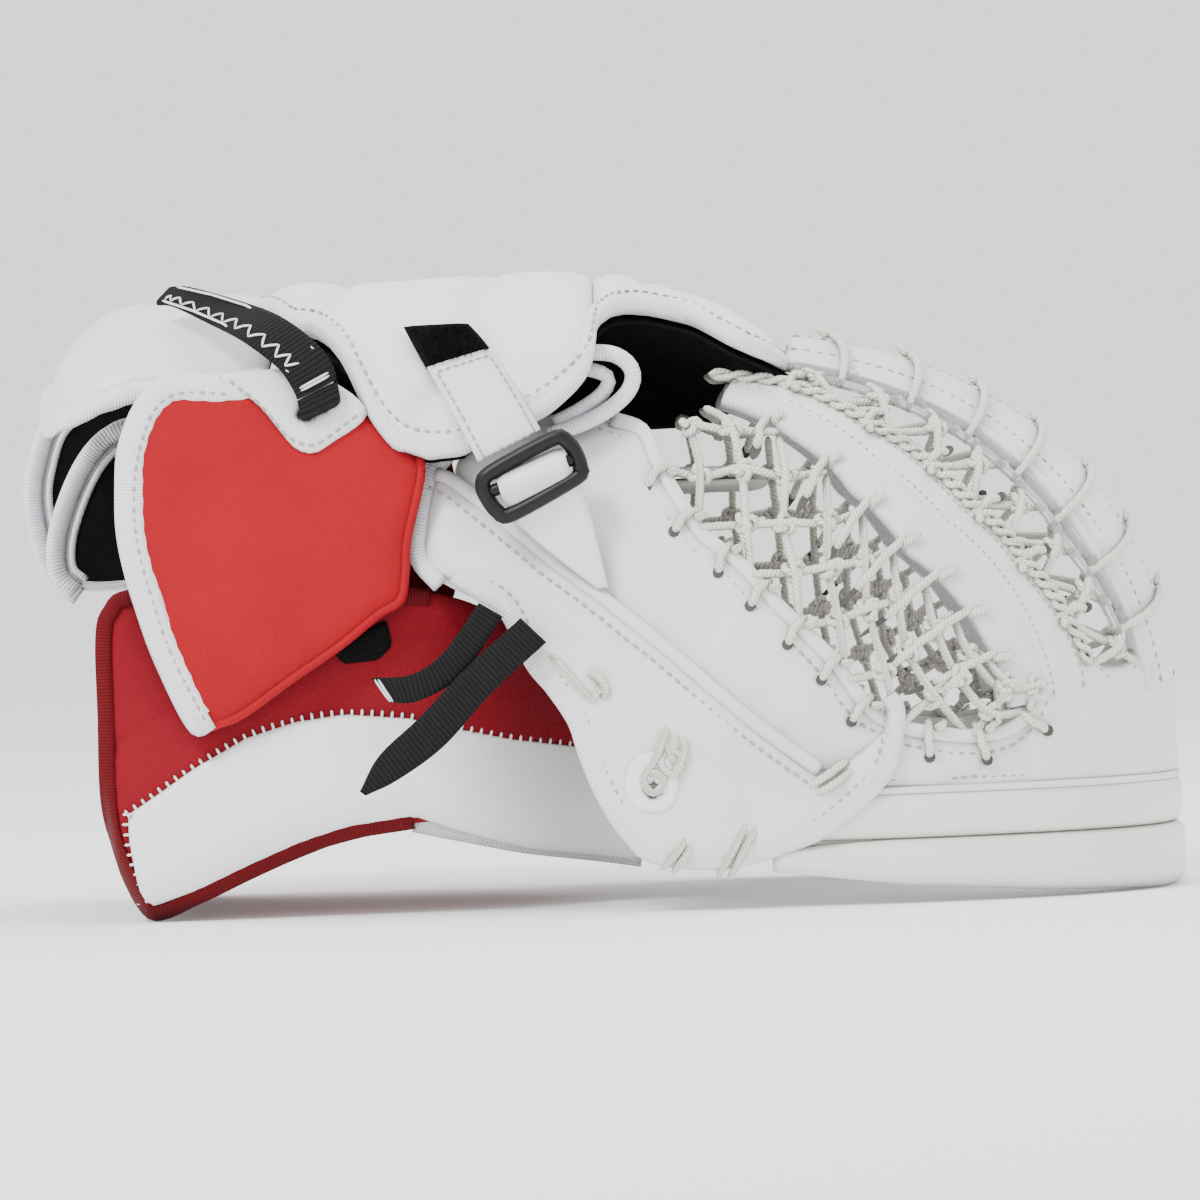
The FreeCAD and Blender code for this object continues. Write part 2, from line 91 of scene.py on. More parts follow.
def ridge_point(degrees, u, h=0.0):
    """A point on the pocket at an angle over the ridge and u across it, h proud."""
    angle = math.radians(degrees)
    size = (1 - u**POWER) ** (1 / POWER)
    x = size * math.cos(angle) ** (2 / POWER)
    z = size * math.sin(angle) ** (2 / POWER)
    normal = Vector((x ** (POWER - 1) / BOWL_LENGTH, -(u ** (POWER - 1)) / BOWL_HALF,
                     z ** (POWER - 1) / BOWL_HEIGHT)).normalized()
    at = Vector((BOWL_X + BOWL_LENGTH * x, RIDGE_Y - BOWL_HALF * u, RIM_Z + BOWL_HEIGHT * z))
    return at + normal * h


def plan_curve():
    """The rim's outline seen from above, thumb side first, as (x, y, outward x, outward y)."""
    points = []
    for x in range(-60, 12, 4):
        points.append((float(x), wall_y(x, 0)))
    steps = 60
    for i in range(steps + 1):
        a = PI / 2 - PI / 2 * i / steps
        points.append((BOWL_X + BOWL_LENGTH * math.cos(a) ** (2 / POWER),
                       RIDGE_Y - BOWL_HALF * math.sin(a) ** (2 / POWER)))
    points += [(x, 2 * RIDGE_Y - y) for x, y in reversed(points[:-1])]
    return resampled([Vector((x, y, 0)) for x, y in points], 2.0)


def resampled(points, step, closed=False):
    """Evenly spaced points along straight runs."""
    points = [Vector(p) for p in points]
    if closed:
        points = points + [points[0]]
    lengths = [0.0]
    for a, b in zip(points, points[1:]):
        lengths.append(lengths[-1] + (b - a).length)
    count = max(2, round(lengths[-1] / step))
    coords = np.array([list(p) for p in points])
    at = np.linspace(0, lengths[-1], count + 1)
    if closed:
        at = at[:-1]
    cols = [np.interp(at, lengths, coords[:, k]) for k in range(coords.shape[1])]
    return [Vector(row) for row in zip(*cols)]


def smooth(points, per=6, closed=False):
    """Catmull-Rom through the points."""
    points = [Vector(p) for p in points]
    n = len(points)
    out = []
    for i in range(n if closed else n - 1):
        if closed:
            p0, p1, p2, p3 = (points[(i + k) % n] for k in (-1, 0, 1, 2))
        else:
            p1, p2 = points[i], points[i + 1]
            p0 = points[i - 1] if i else p1 * 2 - p2
            p3 = points[i + 2] if i + 2 < n else p2 * 2 - p1
        for k in range(per):
            t = k / per
            out.append(0.5 * (2 * p1 + (p2 - p0) * t + (2 * p0 - 5 * p1 + 4 * p2 - p3) * t**2
                              + (3 * p1 - p0 - 3 * p2 + p3) * t**3))
    if not closed:
        out.append(points[-1])
    return out


PLAN = plan_curve()
PLAN_STEP = sum((b - a).length for a, b in zip(PLAN, PLAN[1:])) / (len(PLAN) - 1)
PLAN_LENGTH = PLAN_STEP * (len(PLAN) - 1)


def rim(s, z, h):
    """A point of the whole wall: s mm along the rim from the thumb side's wrist end, at height z."""
    f = max(0.0, min(len(PLAN) - 1.001, s / PLAN_STEP))
    i = int(f)
    p = PLAN[i].lerp(PLAN[i + 1], f - i)
    a, b = PLAN[max(0, i - 2)], PLAN[min(len(PLAN) - 1, i + 3)]
    ahead = (b - a).normalized()
    out = Vector((ahead.y, -ahead.x, 0))
    rise = max(0.0, (z - RIM_Z) / BOWL_HEIGHT)
    shrink = max(0.02, 1 - rise**POWER) ** (1 / POWER)
    x = p.x if p.x < BOWL_X else BOWL_X + (p.x - BOWL_X) * shrink
    y = RIDGE_Y + (p.y - RIDGE_Y) * shrink
    return Vector((x, y, z)) + out * h


def along_rim(x, z=RIM_Z):
    """How far along the rim the thumb wall is at x, z."""
    rise = max(0.0, (z - RIM_Z) / BOWL_HEIGHT)
    shrink = max(0.02, 1 - rise**POWER) ** (1 / POWER)
    if x > BOWL_X:
        x = BOWL_X + (x - BOWL_X) / shrink
    half = len(PLAN) // 2
    xs = [p.x for p in PLAN[:half + 1]]
    return float(np.interp(x, xs, [i * PLAN_STEP for i in range(half + 1)]))


def other_side(surface):
    """The same surface mirrored to the finger side."""
    def mirrored(a, b, h):
        p = surface(a, b, h)
        return Vector((p.x, 2 * RIDGE_Y - p.y, p.z))
    return mirrored


def band_surface(low, high):
    """A surface along a strip between two edge curves: s along its middle, v across, h proud."""
    count = len(low)
    middle = [(a + b) / 2 for a, b in zip(low, high)]
    across = [(b - a).normalized() for a, b in zip(low, high)]
    half = [(b - a).length / 2 for a, b in zip(low, high)]
    lengths = [0.0]
    for a, b in zip(middle, middle[1:]):
        lengths.append(lengths[-1] + (b - a).length)
    normals = []
    for i in range(count):
        ahead = (middle[min(count - 1, i + 1)] - middle[max(0, i - 1)]).normalized()
        n = ahead.cross(across[i]).normalized()
        if n.dot(middle[i] - Vector((60, RIDGE_Y, 60))) < 0:
            n = -n
        normals.append(n)

    def surface(s, v, h):
        f = float(np.interp(s, lengths, range(count)))
        i = min(count - 2, int(f))
        t = f - i
        c = middle[i].lerp(middle[i + 1], t)
        x = across[i].lerp(across[i + 1], t)
        n = normals[i].lerp(normals[i + 1], t)
        crown = 0.0035 * (width(s) ** 2 - v * v)
        return c + x * v + n * (h + crown)

    def width(s):
        return float(np.interp(s, lengths, half))

    return surface, width, lengths[-1]


# ---- making meshes -----------------------------------------------------------------------
def new_object(name, verts, faces, material, uvs=None, flat=False):
    name = name.replace(" ", "_") + "_shape"
    mesh = bpy.data.meshes.new(name)
    mesh.from_pydata([tuple(Vector(v) * MM) for v in verts], [], faces)
    if uvs is not None:
        layer = mesh.uv_layers.new(name="UVMap")
        for poly in mesh.polygons:
            for loop, vertex in zip(poly.loop_indices, poly.vertices):
                layer.data[loop].uv = (uvs[vertex][0] * MM, uvs[vertex][1] * MM)
    obj = bpy.data.objects.new(name, mesh)
    bpy.context.scene.collection.objects.link(obj)
    work = bmesh.new()
    work.from_mesh(mesh)
    bmesh.ops.recalc_face_normals(work, faces=work.faces)
    work.to_mesh(mesh)
    work.free()
    for poly in mesh.polygons:
        poly.use_smooth = not flat
    mesh.materials.append(material)
    return obj


def distance_to(points, line, closed):
    """The distance of each 2-D point from a line of runs."""
    p = np.array(points, float)
    a = np.array([list(q)[:2] for q in line], float)
    b = np.roll(a, -1, axis=0) if closed else a[1:]
    a = a if closed else a[:-1]
    d = b - a
    best = np.full(len(p), 1e9)
    for (ax, ay), (dx, dy) in zip(a, d):
        t = np.clip(((p[:, 0] - ax) * dx + (p[:, 1] - ay) * dy) / max(1e-9, dx * dx + dy * dy), 0, 1)
        best = np.minimum(best, np.hypot(p[:, 0] - ax - t * dx, p[:, 1] - ay - t * dy))
    return best


def inside(points, ring):
    p = np.array(points, float)
    result = np.zeros(len(p), bool)
    n = len(ring)
    for i in range(n):
        x1, y1 = ring[i][0], ring[i][1]
        x2, y2 = ring[(i + 1) % n][0], ring[(i + 1) % n][1]
        crosses = (y1 > p[:, 1]) != (y2 > p[:, 1])
        with np.errstate(divide="ignore", invalid="ignore"):
            at = (x2 - x1) * (p[:, 1] - y1) / (y2 - y1 + 1e-12) + x1
        result ^= crosses & (p[:, 0] < at)
    return result


def stuffed(obj, seams, slack, cap=2.6):
    """Lets the cover find its own folds: cloth cut a little large, under pressure, held at its seams."""
    scene = bpy.context.scene
    before = np.array([v.co for v in obj.data.vertices])
    group = obj.vertex_groups.new(name="seams")
    group.add(seams, 1.0, "REPLACE")
    cloth = obj.modifiers.new("cloth", "CLOTH")
    cloth.settings.quality = 5
    cloth.settings.mass = 0.2
    cloth.settings.bending_stiffness = 0.6
    cloth.settings.use_pressure = True
    cloth.settings.uniform_pressure_force = 4.0
    cloth.settings.shrink_min = -slack
    cloth.settings.vertex_group_mass = "seams"
    cloth.settings.effector_weights.gravity = 0.0
    cloth.point_cache.frame_start = 1
    cloth.point_cache.frame_end = 20
    for step in range(1, 21):
        scene.frame_set(step)
    graph = bpy.context.evaluated_depsgraph_get()
    move = np.nan_to_num(np.array([v.co for v in obj.evaluated_get(graph).data.vertices]) - before)
    scene.frame_set(1)
    obj.modifiers.remove(cloth)
    obj.vertex_groups.clear()
    length = np.maximum(np.linalg.norm(move, axis=1, keepdims=True), 1e-9)
    move *= np.tanh(length / (cap * MM)) * cap * MM / length
    ends = np.array([list(e.vertices) for e in obj.data.edges])
    for _ in range(2):
        total, count = move.copy(), np.ones((len(move), 1))
        np.add.at(total, ends[:, 0], move[ends[:, 1]])
        np.add.at(total, ends[:, 1], move[ends[:, 0]])
        np.add.at(count, ends.ravel(), 1.0)
        move = total / count
    move[seams] = 0
    for vertex, place_at in zip(obj.data.vertices, before + move):
        vertex.co = place_at
    print("stuffed", obj.name, "moved", round(float(np.abs(move).max() / MM), 2), "mm")


def panel(name, outline, surface, thick, edge, material, step=4.0, grooves=(), wrinkle=(0.0, 20.0),
          under=0.0, rounded=True, holes=(), lift=0.0, slack=0.0):
    """A padded piece with rounded edges on a surface. outline is in the surface's own two coordinates,
    grooves are (line, half width, depth), wrinkle is (height, size), slack is the cover's extra size."""
    ring = [Vector((p[0], p[1], 0)) for p in outline]
    if rounded:
        ring = smooth(ring, 5, closed=True)
    ring = [p.xy for p in resampled(ring, min(step, 3.0), closed=True)]
    lows = np.min([list(p) for p in ring], axis=0)
    highs = np.max([list(p) for p in ring], axis=0)
    near = []
    for depth in (0.12, 0.4, 0.8):
        for i, p in enumerate(ring):
            ahead = (ring[(i + 1) % len(ring)] - ring[i - 1]).normalized()
            near.append((p.x - ahead.y * edge * depth, p.y + ahead.x * edge * depth))
            near.append((p.x + ahead.y * edge * depth, p.y - ahead.x * edge * depth))
    keep = inside(near, ring)
    gaps = distance_to(near, ring, True)
    wanted = np.tile(np.repeat([0.12, 0.4, 0.8], 2 * len(ring)), 1) * edge
    near = [q for q, k, g, w in zip(near, keep, gaps, wanted) if k and g > w * 0.93]
    grid = [(x + (step / 2 if j % 2 else 0), y)
            for j, y in enumerate(np.arange(lows[1], highs[1], step * 0.87))
            for x in np.arange(lows[0], highs[0], step)]
    keep = inside(grid, ring)
    gaps = distance_to(grid, ring, True)
    grid = [q for q, k, g in zip(grid, keep, gaps) if k and g > edge * 0.95]
    flat = [tuple(p) for p in ring] + near + grid
    for line, half, _ in grooves:
        dense = [tuple(p.xy) for p in resampled([Vector((q[0], q[1], 0)) for q in line], 2.5)]
        ok = inside(dense, ring)
        flat += [q for q, k, g in zip(dense, ok, distance_to(dense, ring, True)) if k and g > 1.0]
    rings = [list(range(len(ring)))]
    hole_rings = []
    for hx, hy, hr in holes:
        first = len(flat)
        flat = flat + [(hx + hr * math.cos(a * PI / 6), hy + hr * math.sin(a * PI / 6)) for a in range(12)]
        hole_rings.append((hx, hy, hr))
        rings.append(list(range(first, first + 12)))
    edges = [(r[i], r[(i + 1) % len(r)]) for r in rings for i in range(len(r))]
    verts, _, faces, _, _, _ = delaunay_2d_cdt([Vector(q) for q in flat], edges, [], 0, 1e-4)
    verts = [tuple(v) for v in verts]
    centres = [tuple(np.mean([verts[i] for i in f], axis=0)) for f in faces]
    keep = inside(centres, ring)
    for k, (cx, cy) in enumerate(centres):
        if any(math.hypot(cx - hx, cy - hy) < hr * 0.97 for hx, hy, hr in hole_rings):
            keep[k] = False
    faces = [list(f) for f, k in zip(faces, keep) if k]
    d = distance_to(verts, ring, True)
    for hx, hy, hr in hole_rings:
        d = np.minimum(d, np.abs(np.hypot([v[0] - hx for v in verts], [v[1] - hy for v in verts]) - hr))
    t = np.clip(d / edge, 0, 1)
    height = thick * np.sqrt(np.clip(1 - (1 - t) ** 2, 0, 1))
    for line, half, deep in grooves:
        g = distance_to(verts, line, False)
        height = height - np.minimum(deep * np.exp(-((g / half) ** 2)), height * 0.8)
    if wrinkle[0]:
        for i, v in enumerate(verts):
            bump = noise.noise(Vector((v[0] / wrinkle[1], v[1] / wrinkle[1], len(name))))
            height[i] += wrinkle[0] * bump * min(1.0, d[i] / (2 * edge))
    top = [surface(v[0], v[1], lift + h) for v, h in zip(verts, height)]
    bottom = [surface(v[0], v[1], lift - under * math.sqrt(max(0.0, 1 - (1 - k) ** 2))) for v, k in zip(verts, t)]
    count = len(verts)
    rim_set = d < 1e-3
    index = [i if rim_set[i] else count + i for i in range(count)]
    all_faces = faces + [[index[i] for i in reversed(f)] for f in faces]
    used = sorted({i for f in all_faces for i in f})
    remap = {old: new for new, old in enumerate(used)}
    everything = top + bottom
    uv = verts + verts
    obj = new_object(name, [everything[i] for i in used], [[remap[i] for i in f] for f in all_faces],
                     material, [uv[i] for i in used])
    if slack:
        sewn = d < 0.3 * edge
        for line, half, _ in grooves:
            sewn |= distance_to(verts, line, False) < 0.6 * half
        stuffed(obj, [remap[i] for i in used if i >= count or sewn[i]], slack)
    return obj


def side_of(line, closed):
    """The direction across a 2-D line at each of its points."""
    out = []
    n = len(line)
    for i in range(n):
        a = line[(i - 1) % n] if closed else line[max(0, i - 1)]
        b = line[(i + 1) % n] if closed else line[min(n - 1, i + 1)]
        ahead = Vector((b[0] - a[0], b[1] - a[1]))
        ahead = ahead.normalized() if ahead.length > 1e-9 else Vector((1, 0))
        out.append(Vector((-ahead.y, ahead.x)))
    return out


def offset(line, by):
    """The rounded line moved sideways, to its left for a positive distance."""
    path = resampled(smooth([Vector((p[0], p[1], 0)) for p in line], 6), 3.0)
    return [(p.x + s.x * by, p.y + s.y * by) for p, s in zip(path, side_of(path, False))]


def ribbon(name, line, surface, width, thick, material, shift=0.0, lift=0.0, closed=False, step=2.2,
           rounded=True, wave=0.0):
    """A folded tape along a line on a surface: its section is a flattened D, shift to one side."""
    path = smooth([Vector((p[0], p[1], 0)) for p in line], 6, closed) if rounded else line
    path = resampled([Vector((p[0], p[1], 0)) for p in path], step, closed)
    sides = side_of(path, closed)
    section = [(math.cos(a), math.sin(a)) for a in [PI * k / 7 for k in range(8)]] + [(-0.8, -0.55), (0.8, -0.55)]
    verts, uvs, faces = [], [], []
    count = len(section)
    for i, (p, s) in enumerate(zip(path, sides)):
        ripple = 1 + wave * math.sin(i * 1.9)
        for k, (c, h) in enumerate(section):
            a = p.xy + s * (shift + c * width / 2)
            up = thick * ripple * (abs(h) ** 0.6 if h > 0 else h)
            verts.append(surface(a.x, a.y, lift + up))
            uvs.append((i * step, k * width / count))
    total = len(path)
    for i in range(total if closed else total - 1):
        j = (i + 1) % total
        for k in range(count):
            m = (k + 1) % count
            faces.append([i * count + k, i * count + m, j * count + m, j * count + k])
    if not closed:
        faces.append(list(range(count)))
        faces.append([(total - 1) * count + k for k in reversed(range(count))])
    return new_object(name, verts, faces, material, uvs)


def stitches(name, lines, surface, material, spacing=3.6, length=2.5, radius=0.42, lift=0.2, rounded=True):
    """Rows of separate thread stitches, each a small pod half sunk in the surface."""
    verts, faces, uvs = [], [], []
    for line in lines:
        path = smooth([Vector((p[0], p[1], 0)) for p in line], 6) if rounded else line
        path = resampled([Vector((p[0], p[1], 0)) for p in path], spacing)
        for a, b in zip(path, path[1:]):
            middle = (a + b) / 2
            ahead = (b - a).normalized()
            p0 = surface(*(middle - ahead * length / 2).xy, lift - radius * 0.7)
            p1 = surface(*middle.xy, lift)
            p2 = surface(*(middle + ahead * length / 2).xy, lift - radius * 0.7)
            up = surface(*middle.xy, lift + 1) - p1
            side = (p2 - p0).normalized().cross(up).normalized()
            first = len(verts)
            verts.append(p0)
            for t in (0.25, 0.5, 0.75):
                c = p0.lerp(p2, t) + up * (radius * 0.75 * math.sin(PI * t))
                for k in range(6):
                    w = 2 * PI * k / 6
                    verts.append(c + (side * math.cos(w) + up * math.sin(w)) * radius)
            verts.append(p2)
            last = len(verts) - 1
            uvs += [(0, 0)] * (last + 1 - first)
            for k in range(6):
                m = (k + 1) % 6
                faces.append([first, first + 1 + k, first + 1 + m])
                for r in (1, 7):
                    faces.append([first + r + k, first + r + 6 + k, first + r + 6 + m, first + r + m])
                faces.append([first + 13 + k, last, first + 13 + m])
    return new_object(name, verts, faces, material, uvs)


def tubes(name, lines, radius, material, sides=8, step=1.3, twist=0.07, closed=False, per=6, flat_ends=False):
    """Round cords through points, with the low relief of twisted strands."""
    verts, faces, uvs = [], [], []
    for line in lines:
        path = resampled(smooth(line, per, closed), step, closed)
        total = len(path)
        first = len(verts)
        up = None
        for i, p in enumerate(path):
            a = path[i - 1] if (i or closed) else p
            b = path[(i + 1) % total] if (i + 1 < total or closed) else p
            ahead = (b - a).normalized()
            if up is None:
                up = ahead.orthogonal().normalized()
            up = (up - ahead * up.dot(ahead)).normalized()
            side = ahead.cross(up)
            end = min(i, total - 1 - i)
            size = radius if closed or flat_ends or end > 1 else radius * (0.45, 0.85)[end]
            for k in range(sides):
                w = 2 * PI * k / sides
                r = size * (1 + twist * math.cos(2 * w + i * step * 1.5))
                verts.append(p + (up * math.cos(w) + side * math.sin(w)) * r)
                uvs.append((i * step, k * 2 * PI * radius / sides))
        for i in range(total if closed else total - 1):
            j = (i + 1) % total
            for k in range(sides):
                m = (k + 1) % sides
                faces.append([first + i * sides + k, first + j * sides + k,
                              first + j * sides + m, first + i * sides + m])
        if not closed:
            faces.append([first + k for k in reversed(range(sides))])
            faces.append([first + (total - 1) * sides + k for k in range(sides)])
    return new_object(name, verts, faces, material, uvs)


def trefoil(at, size, turn, toward):
    """A closed overhand knot's line, lying across toward."""
    axis = toward.normalized()
    u = axis.orthogonal().normalized()
    v = axis.cross(u)
    points = []
    for k in range(18):
        t = 2 * PI * k / 18
        x, y = math.sin(t) + 2 * math.sin(2 * t), math.cos(t) - 2 * math.cos(2 * t)
        c, s = math.cos(turn), math.sin(turn)
        points.append(at + (u * (x * c - y * s) + v * (x * s + y * c)) * size - axis * math.sin(3 * t) * size * 1.1)
    return points


# ---- materials ---------------------------------------------------------------------------
def shader(name, color, roughness, **sockets):
    material = bpy.data.materials.new(name)
    material.use_nodes = True
    nodes, links = material.node_tree.nodes, material.node_tree.links
    principled = nodes["Principled BSDF"]
    principled.inputs["Base Color"].default_value = (*color, 1)
    principled.inputs["Roughness"].default_value = roughness
    for key, value in sockets.items():
        principled.inputs[key.replace("_", " ")].default_value = value
    return material, nodes, links, principled


def node(nodes, kind, **settings):
    made = nodes.new(kind)
    for key, value in settings.items():
        if key in made.inputs:
            made.inputs[key].default_value = value
        else:
            setattr(made, key, value)
    return made


def mixed_color(nodes, links, factor, low, high, principled):
    """Two tones mixed by a texture, with painted shade: the colour is darkened in folds, seams and under edges wherever
    an ambient occlusion node finds surfaces close by.
    """
    mix = node(nodes, "ShaderNodeMix", data_type="RGBA")
    mix.inputs[6].default_value = (*low, 1)
    mix.inputs[7].default_value = (*high, 1)
    links.new(factor, mix.inputs[0])
    # painted shade: ambient occlusion scales the base colour down to 0.55 in corners, creases and under edges
    folds = node(nodes, "ShaderNodeAmbientOcclusion", samples=4, Distance=0.010)
    painted_shade_range = node(nodes, "ShaderNodeMapRange")
    painted_shade_range.inputs["From Min"].default_value = 0.15
    painted_shade_range.inputs["From Max"].default_value = 0.85
    painted_shade_range.inputs["To Min"].default_value = 0.55
    links.new(folds.outputs["AO"], painted_shade_range.inputs["Value"])
    shade_darkened = node(nodes, "ShaderNodeVectorMath", operation="SCALE")
    links.new(mix.outputs[2], shade_darkened.inputs[0])
    links.new(painted_shade_range.outputs["Result"], shade_darkened.inputs["Scale"])
    links.new(shade_darkened.outputs[0], principled.inputs["Base Color"])


def bumped(nodes, links, heights, principled):
    """Chains bumps: heights are (socket, strength, distance in metres)."""
    previous = None
    for socket, strength, distance in heights:
        bump = node(nodes, "ShaderNodeBump", Strength=strength, Distance=distance)
        links.new(socket, bump.inputs["Height"])
        if previous:
            links.new(previous.outputs["Normal"], bump.inputs["Normal"])
        previous = bump
    links.new(previous.outputs["Normal"], principled.inputs["Normal"])


def leather(name, low, high, roughness=0.42, grain=0.12):
    material, nodes, links, principled = shader(name, high, roughness, Specular_IOR_Level=0.45)
    where = node(nodes, "ShaderNodeTexCoord")
    pores = node(nodes, "ShaderNodeTexVoronoi", Scale=1300.0)
    patches = node(nodes, "ShaderNodeTexNoise", Scale=22.0, Detail=5.0)
    folds = node(nodes, "ShaderNodeTexNoise", Scale=48.0, Detail=4.0)
    for texture in (pores, patches, folds):
        links.new(where.outputs["Object"], texture.inputs["Vector"])
    mixed_color(nodes, links, patches.outputs["Fac"], low, high, principled)
    ramp = node(nodes, "ShaderNodeMapRange")
    ramp.inputs["To Min"].default_value = roughness - 0.08
    ramp.inputs["To Max"].default_value = roughness + 0.1
    links.new(patches.outputs["Fac"], ramp.inputs["Value"])
    links.new(ramp.outputs["Result"], principled.inputs["Roughness"])
    bumped(nodes, links, [(folds.outputs["Fac"], 0.30, 0.0030), (pores.outputs["Distance"], grain, 0.0003)],
           principled)
    return material


def woven(name, low, high, pitch, roughness=0.8, strength=0.6, skew=1.0, **sockets):
    """Plain weave from two sine waves over the piece's own flat coordinates."""
    material, nodes, links, principled = shader(name, high, roughness, **sockets)
    where = node(nodes, "ShaderNodeTexCoord")
    parts = node(nodes, "ShaderNodeSeparateXYZ")
    links.new(where.outputs["UV"], parts.inputs[0])
    waves = []
    for axis, scale in ((0, 1.0), (1, skew)):
        times = node(nodes, "ShaderNodeMath", operation="MULTIPLY")
        times.inputs[1].default_value = 2 * PI / pitch * scale
        links.new(parts.outputs[axis], times.inputs[0])
        sine = node(nodes, "ShaderNodeMath", operation="SINE")
        links.new(times.outputs[0], sine.inputs[0])
        waves.append(sine)
    product = node(nodes, "ShaderNodeMath", operation="MULTIPLY")
    links.new(waves[0].outputs[0], product.inputs[0])
    links.new(waves[1].outputs[0], product.inputs[1])
    spread = node(nodes, "ShaderNodeMapRange")
    spread.inputs["From Min"].default_value = -1.0
    links.new(product.outputs[0], spread.inputs["Value"])
    wear = node(nodes, "ShaderNodeTexNoise", Scale=30.0, Detail=4.0)
    links.new(where.outputs["Object"], wear.inputs["Vector"])
    blend = node(nodes, "ShaderNodeMath", operation="MULTIPLY_ADD")
    links.new(spread.outputs["Result"], blend.inputs[0])
    blend.inputs[1].default_value = 0.6
    links.new(wear.outputs["Fac"], blend.inputs[2])
    mixed_color(nodes, links, blend.outputs[0], low, high, principled)
    bumped(nodes, links, [(wear.outputs["Fac"], 0.08, 0.001), (product.outputs[0], strength, pitch * 0.25)],
           principled)
    return material


def ribbed(name, low, high, pitch, roughness=0.6, strength=0.5, slant=0.0, **sockets):
    """Ribs across a tape or round a cord, over the coordinate that runs along it."""
    material, nodes, links, principled = shader(name, high, roughness, **sockets)
    where = node(nodes, "ShaderNodeTexCoord")
    parts = node(nodes, "ShaderNodeSeparateXYZ")
    links.new(where.outputs["UV"], parts.inputs[0])
    lean = node(nodes, "ShaderNodeMath", operation="MULTIPLY_ADD")
    links.new(parts.outputs[1], lean.inputs[0])
    lean.inputs[1].default_value = slant
    links.new(parts.outputs[0], lean.inputs[2])
    times = node(nodes, "ShaderNodeMath", operation="MULTIPLY")
    times.inputs[1].default_value = 2 * PI / pitch
    links.new(lean.outputs[0], times.inputs[0])
    sine = node(nodes, "ShaderNodeMath", operation="SINE")
    links.new(times.outputs[0], sine.inputs[0])
    spread = node(nodes, "ShaderNodeMapRange")
    spread.inputs["From Min"].default_value = -1.0
    links.new(sine.outputs[0], spread.inputs["Value"])
    mixed_color(nodes, links, spread.outputs["Result"], low, high, principled)
    wear = node(nodes, "ShaderNodeTexNoise", Scale=90.0, Detail=4.0)
    links.new(where.outputs["Object"], wear.inputs["Vector"])
    bumped(nodes, links, [(wear.outputs["Fac"], 0.15, 0.0008), (sine.outputs[0], strength, pitch * 0.2)], principled)
    return material


def plain(name, low, high, roughness, scale=200.0, strength=0.15, **sockets):
    """A solid with fine mottling, for moulded, foamed and napped surfaces."""
    material, nodes, links, principled = shader(name, high, roughness, **sockets)
    where = node(nodes, "ShaderNodeTexCoord")
    speck = node(nodes, "ShaderNodeTexNoise", Scale=scale, Detail=6.0)
    links.new(where.outputs["Object"], speck.inputs["Vector"])
    mixed_color(nodes, links, speck.outputs["Fac"], low, high, principled)
    bumped(nodes, links, [(speck.outputs["Fac"], strength, 0.001)], principled)
    return material


WHITE = leather("white_leather", (0.70, 0.705, 0.685), (0.84, 0.84, 0.825))
CREAM = leather("cream_leather", (0.74, 0.74, 0.69), (0.83, 0.83, 0.78), 0.36)
# painted shade: a grey, darker copy of the white leather for the pocket's inside and the palm, standing in for the
# shade inside the pocket
INNER_SHADED_LEATHER = leather("inner_leather", (0.50, 0.50, 0.47), (0.60, 0.60, 0.57), 0.55)
BRIGHT = leather("swoosh_leather", (0.86, 0.86, 0.86), (0.93, 0.93, 0.93), 0.35, 0.06)
RED = woven("red_nylon", (0.24, 0.0, 0.004), (0.37, 0.0, 0.008), 0.0011, 0.75, 0.35, Specular_IOR_Level=0.25)
CRIMSON = woven("crimson_nylon", (0.15, 0.0, 0.004), (0.24, 0.0, 0.009), 0.0011, 0.75, 0.35, Specular_IOR_Level=0.25)
PAD = woven("pad_nylon", (0.74, 0.76, 0.81), (0.88, 0.89, 0.94), 0.0013, 0.75, 0.35, Sheen_Weight=0.1)
BINDING = ribbed("white_binding", (0.70, 0.71, 0.75), (0.90, 0.91, 0.94), 0.0011, 0.45, 0.5, Sheen_Weight=0.2)
RED_BIND = ribbed("dark_red_binding", (0.07, 0.0, 0.002), (0.15, 0.0, 0.004), 0.0011, 0.75,
                  Specular_IOR_Level=0.2)
WEBBING = ribbed("black_webbing", (0.0015, 0.0015, 0.002), (0.009, 0.009, 0.010), 0.0016, 0.8, 0.9,
                 Specular_IOR_Level=0.25)
LINING = plain("black_lining", (0.0015, 0.0015, 0.002), (0.007, 0.007, 0.008), 0.95, 500.0, 0.3,
               Specular_IOR_Level=0.15)
HOOK = plain("hook_tape", (0.0015, 0.0015, 0.0015), (0.010, 0.010, 0.010), 0.95, 900.0, 1.0,
             Specular_IOR_Level=0.1)
PLASTIC = plain("black_plastic", (0.002, 0.002, 0.002), (0.005, 0.005, 0.005), 0.42, 400.0, 0.05,
                Specular_IOR_Level=0.3)
STIFFENER = plain("white_sheet_plastic", (0.66, 0.66, 0.64), (0.74, 0.74, 0.72), 0.45, 150.0, 0.05)
FOAM = plain("foam", (0.55, 0.55, 0.55), (0.66, 0.66, 0.66), 0.95, 1500.0, 0.5)
LACE = ribbed("lace_cord", (0.66, 0.64, 0.55), (0.90, 0.885, 0.82), 0.0016, 0.72, 0.7, 0.55)
THREAD = plain("white_thread", (0.74, 0.74, 0.73), (0.84, 0.84, 0.83), 0.6, 900.0, 0.2)
GREY_THREAD = plain("shaded_thread", (0.34, 0.34, 0.33), (0.44, 0.44, 0.43), 0.7, 900.0, 0.2)
MESH_TAPE = woven("grey_mesh", (0.35, 0.37, 0.41), (0.75, 0.77, 0.80), 0.0016, 0.8, 0.9)
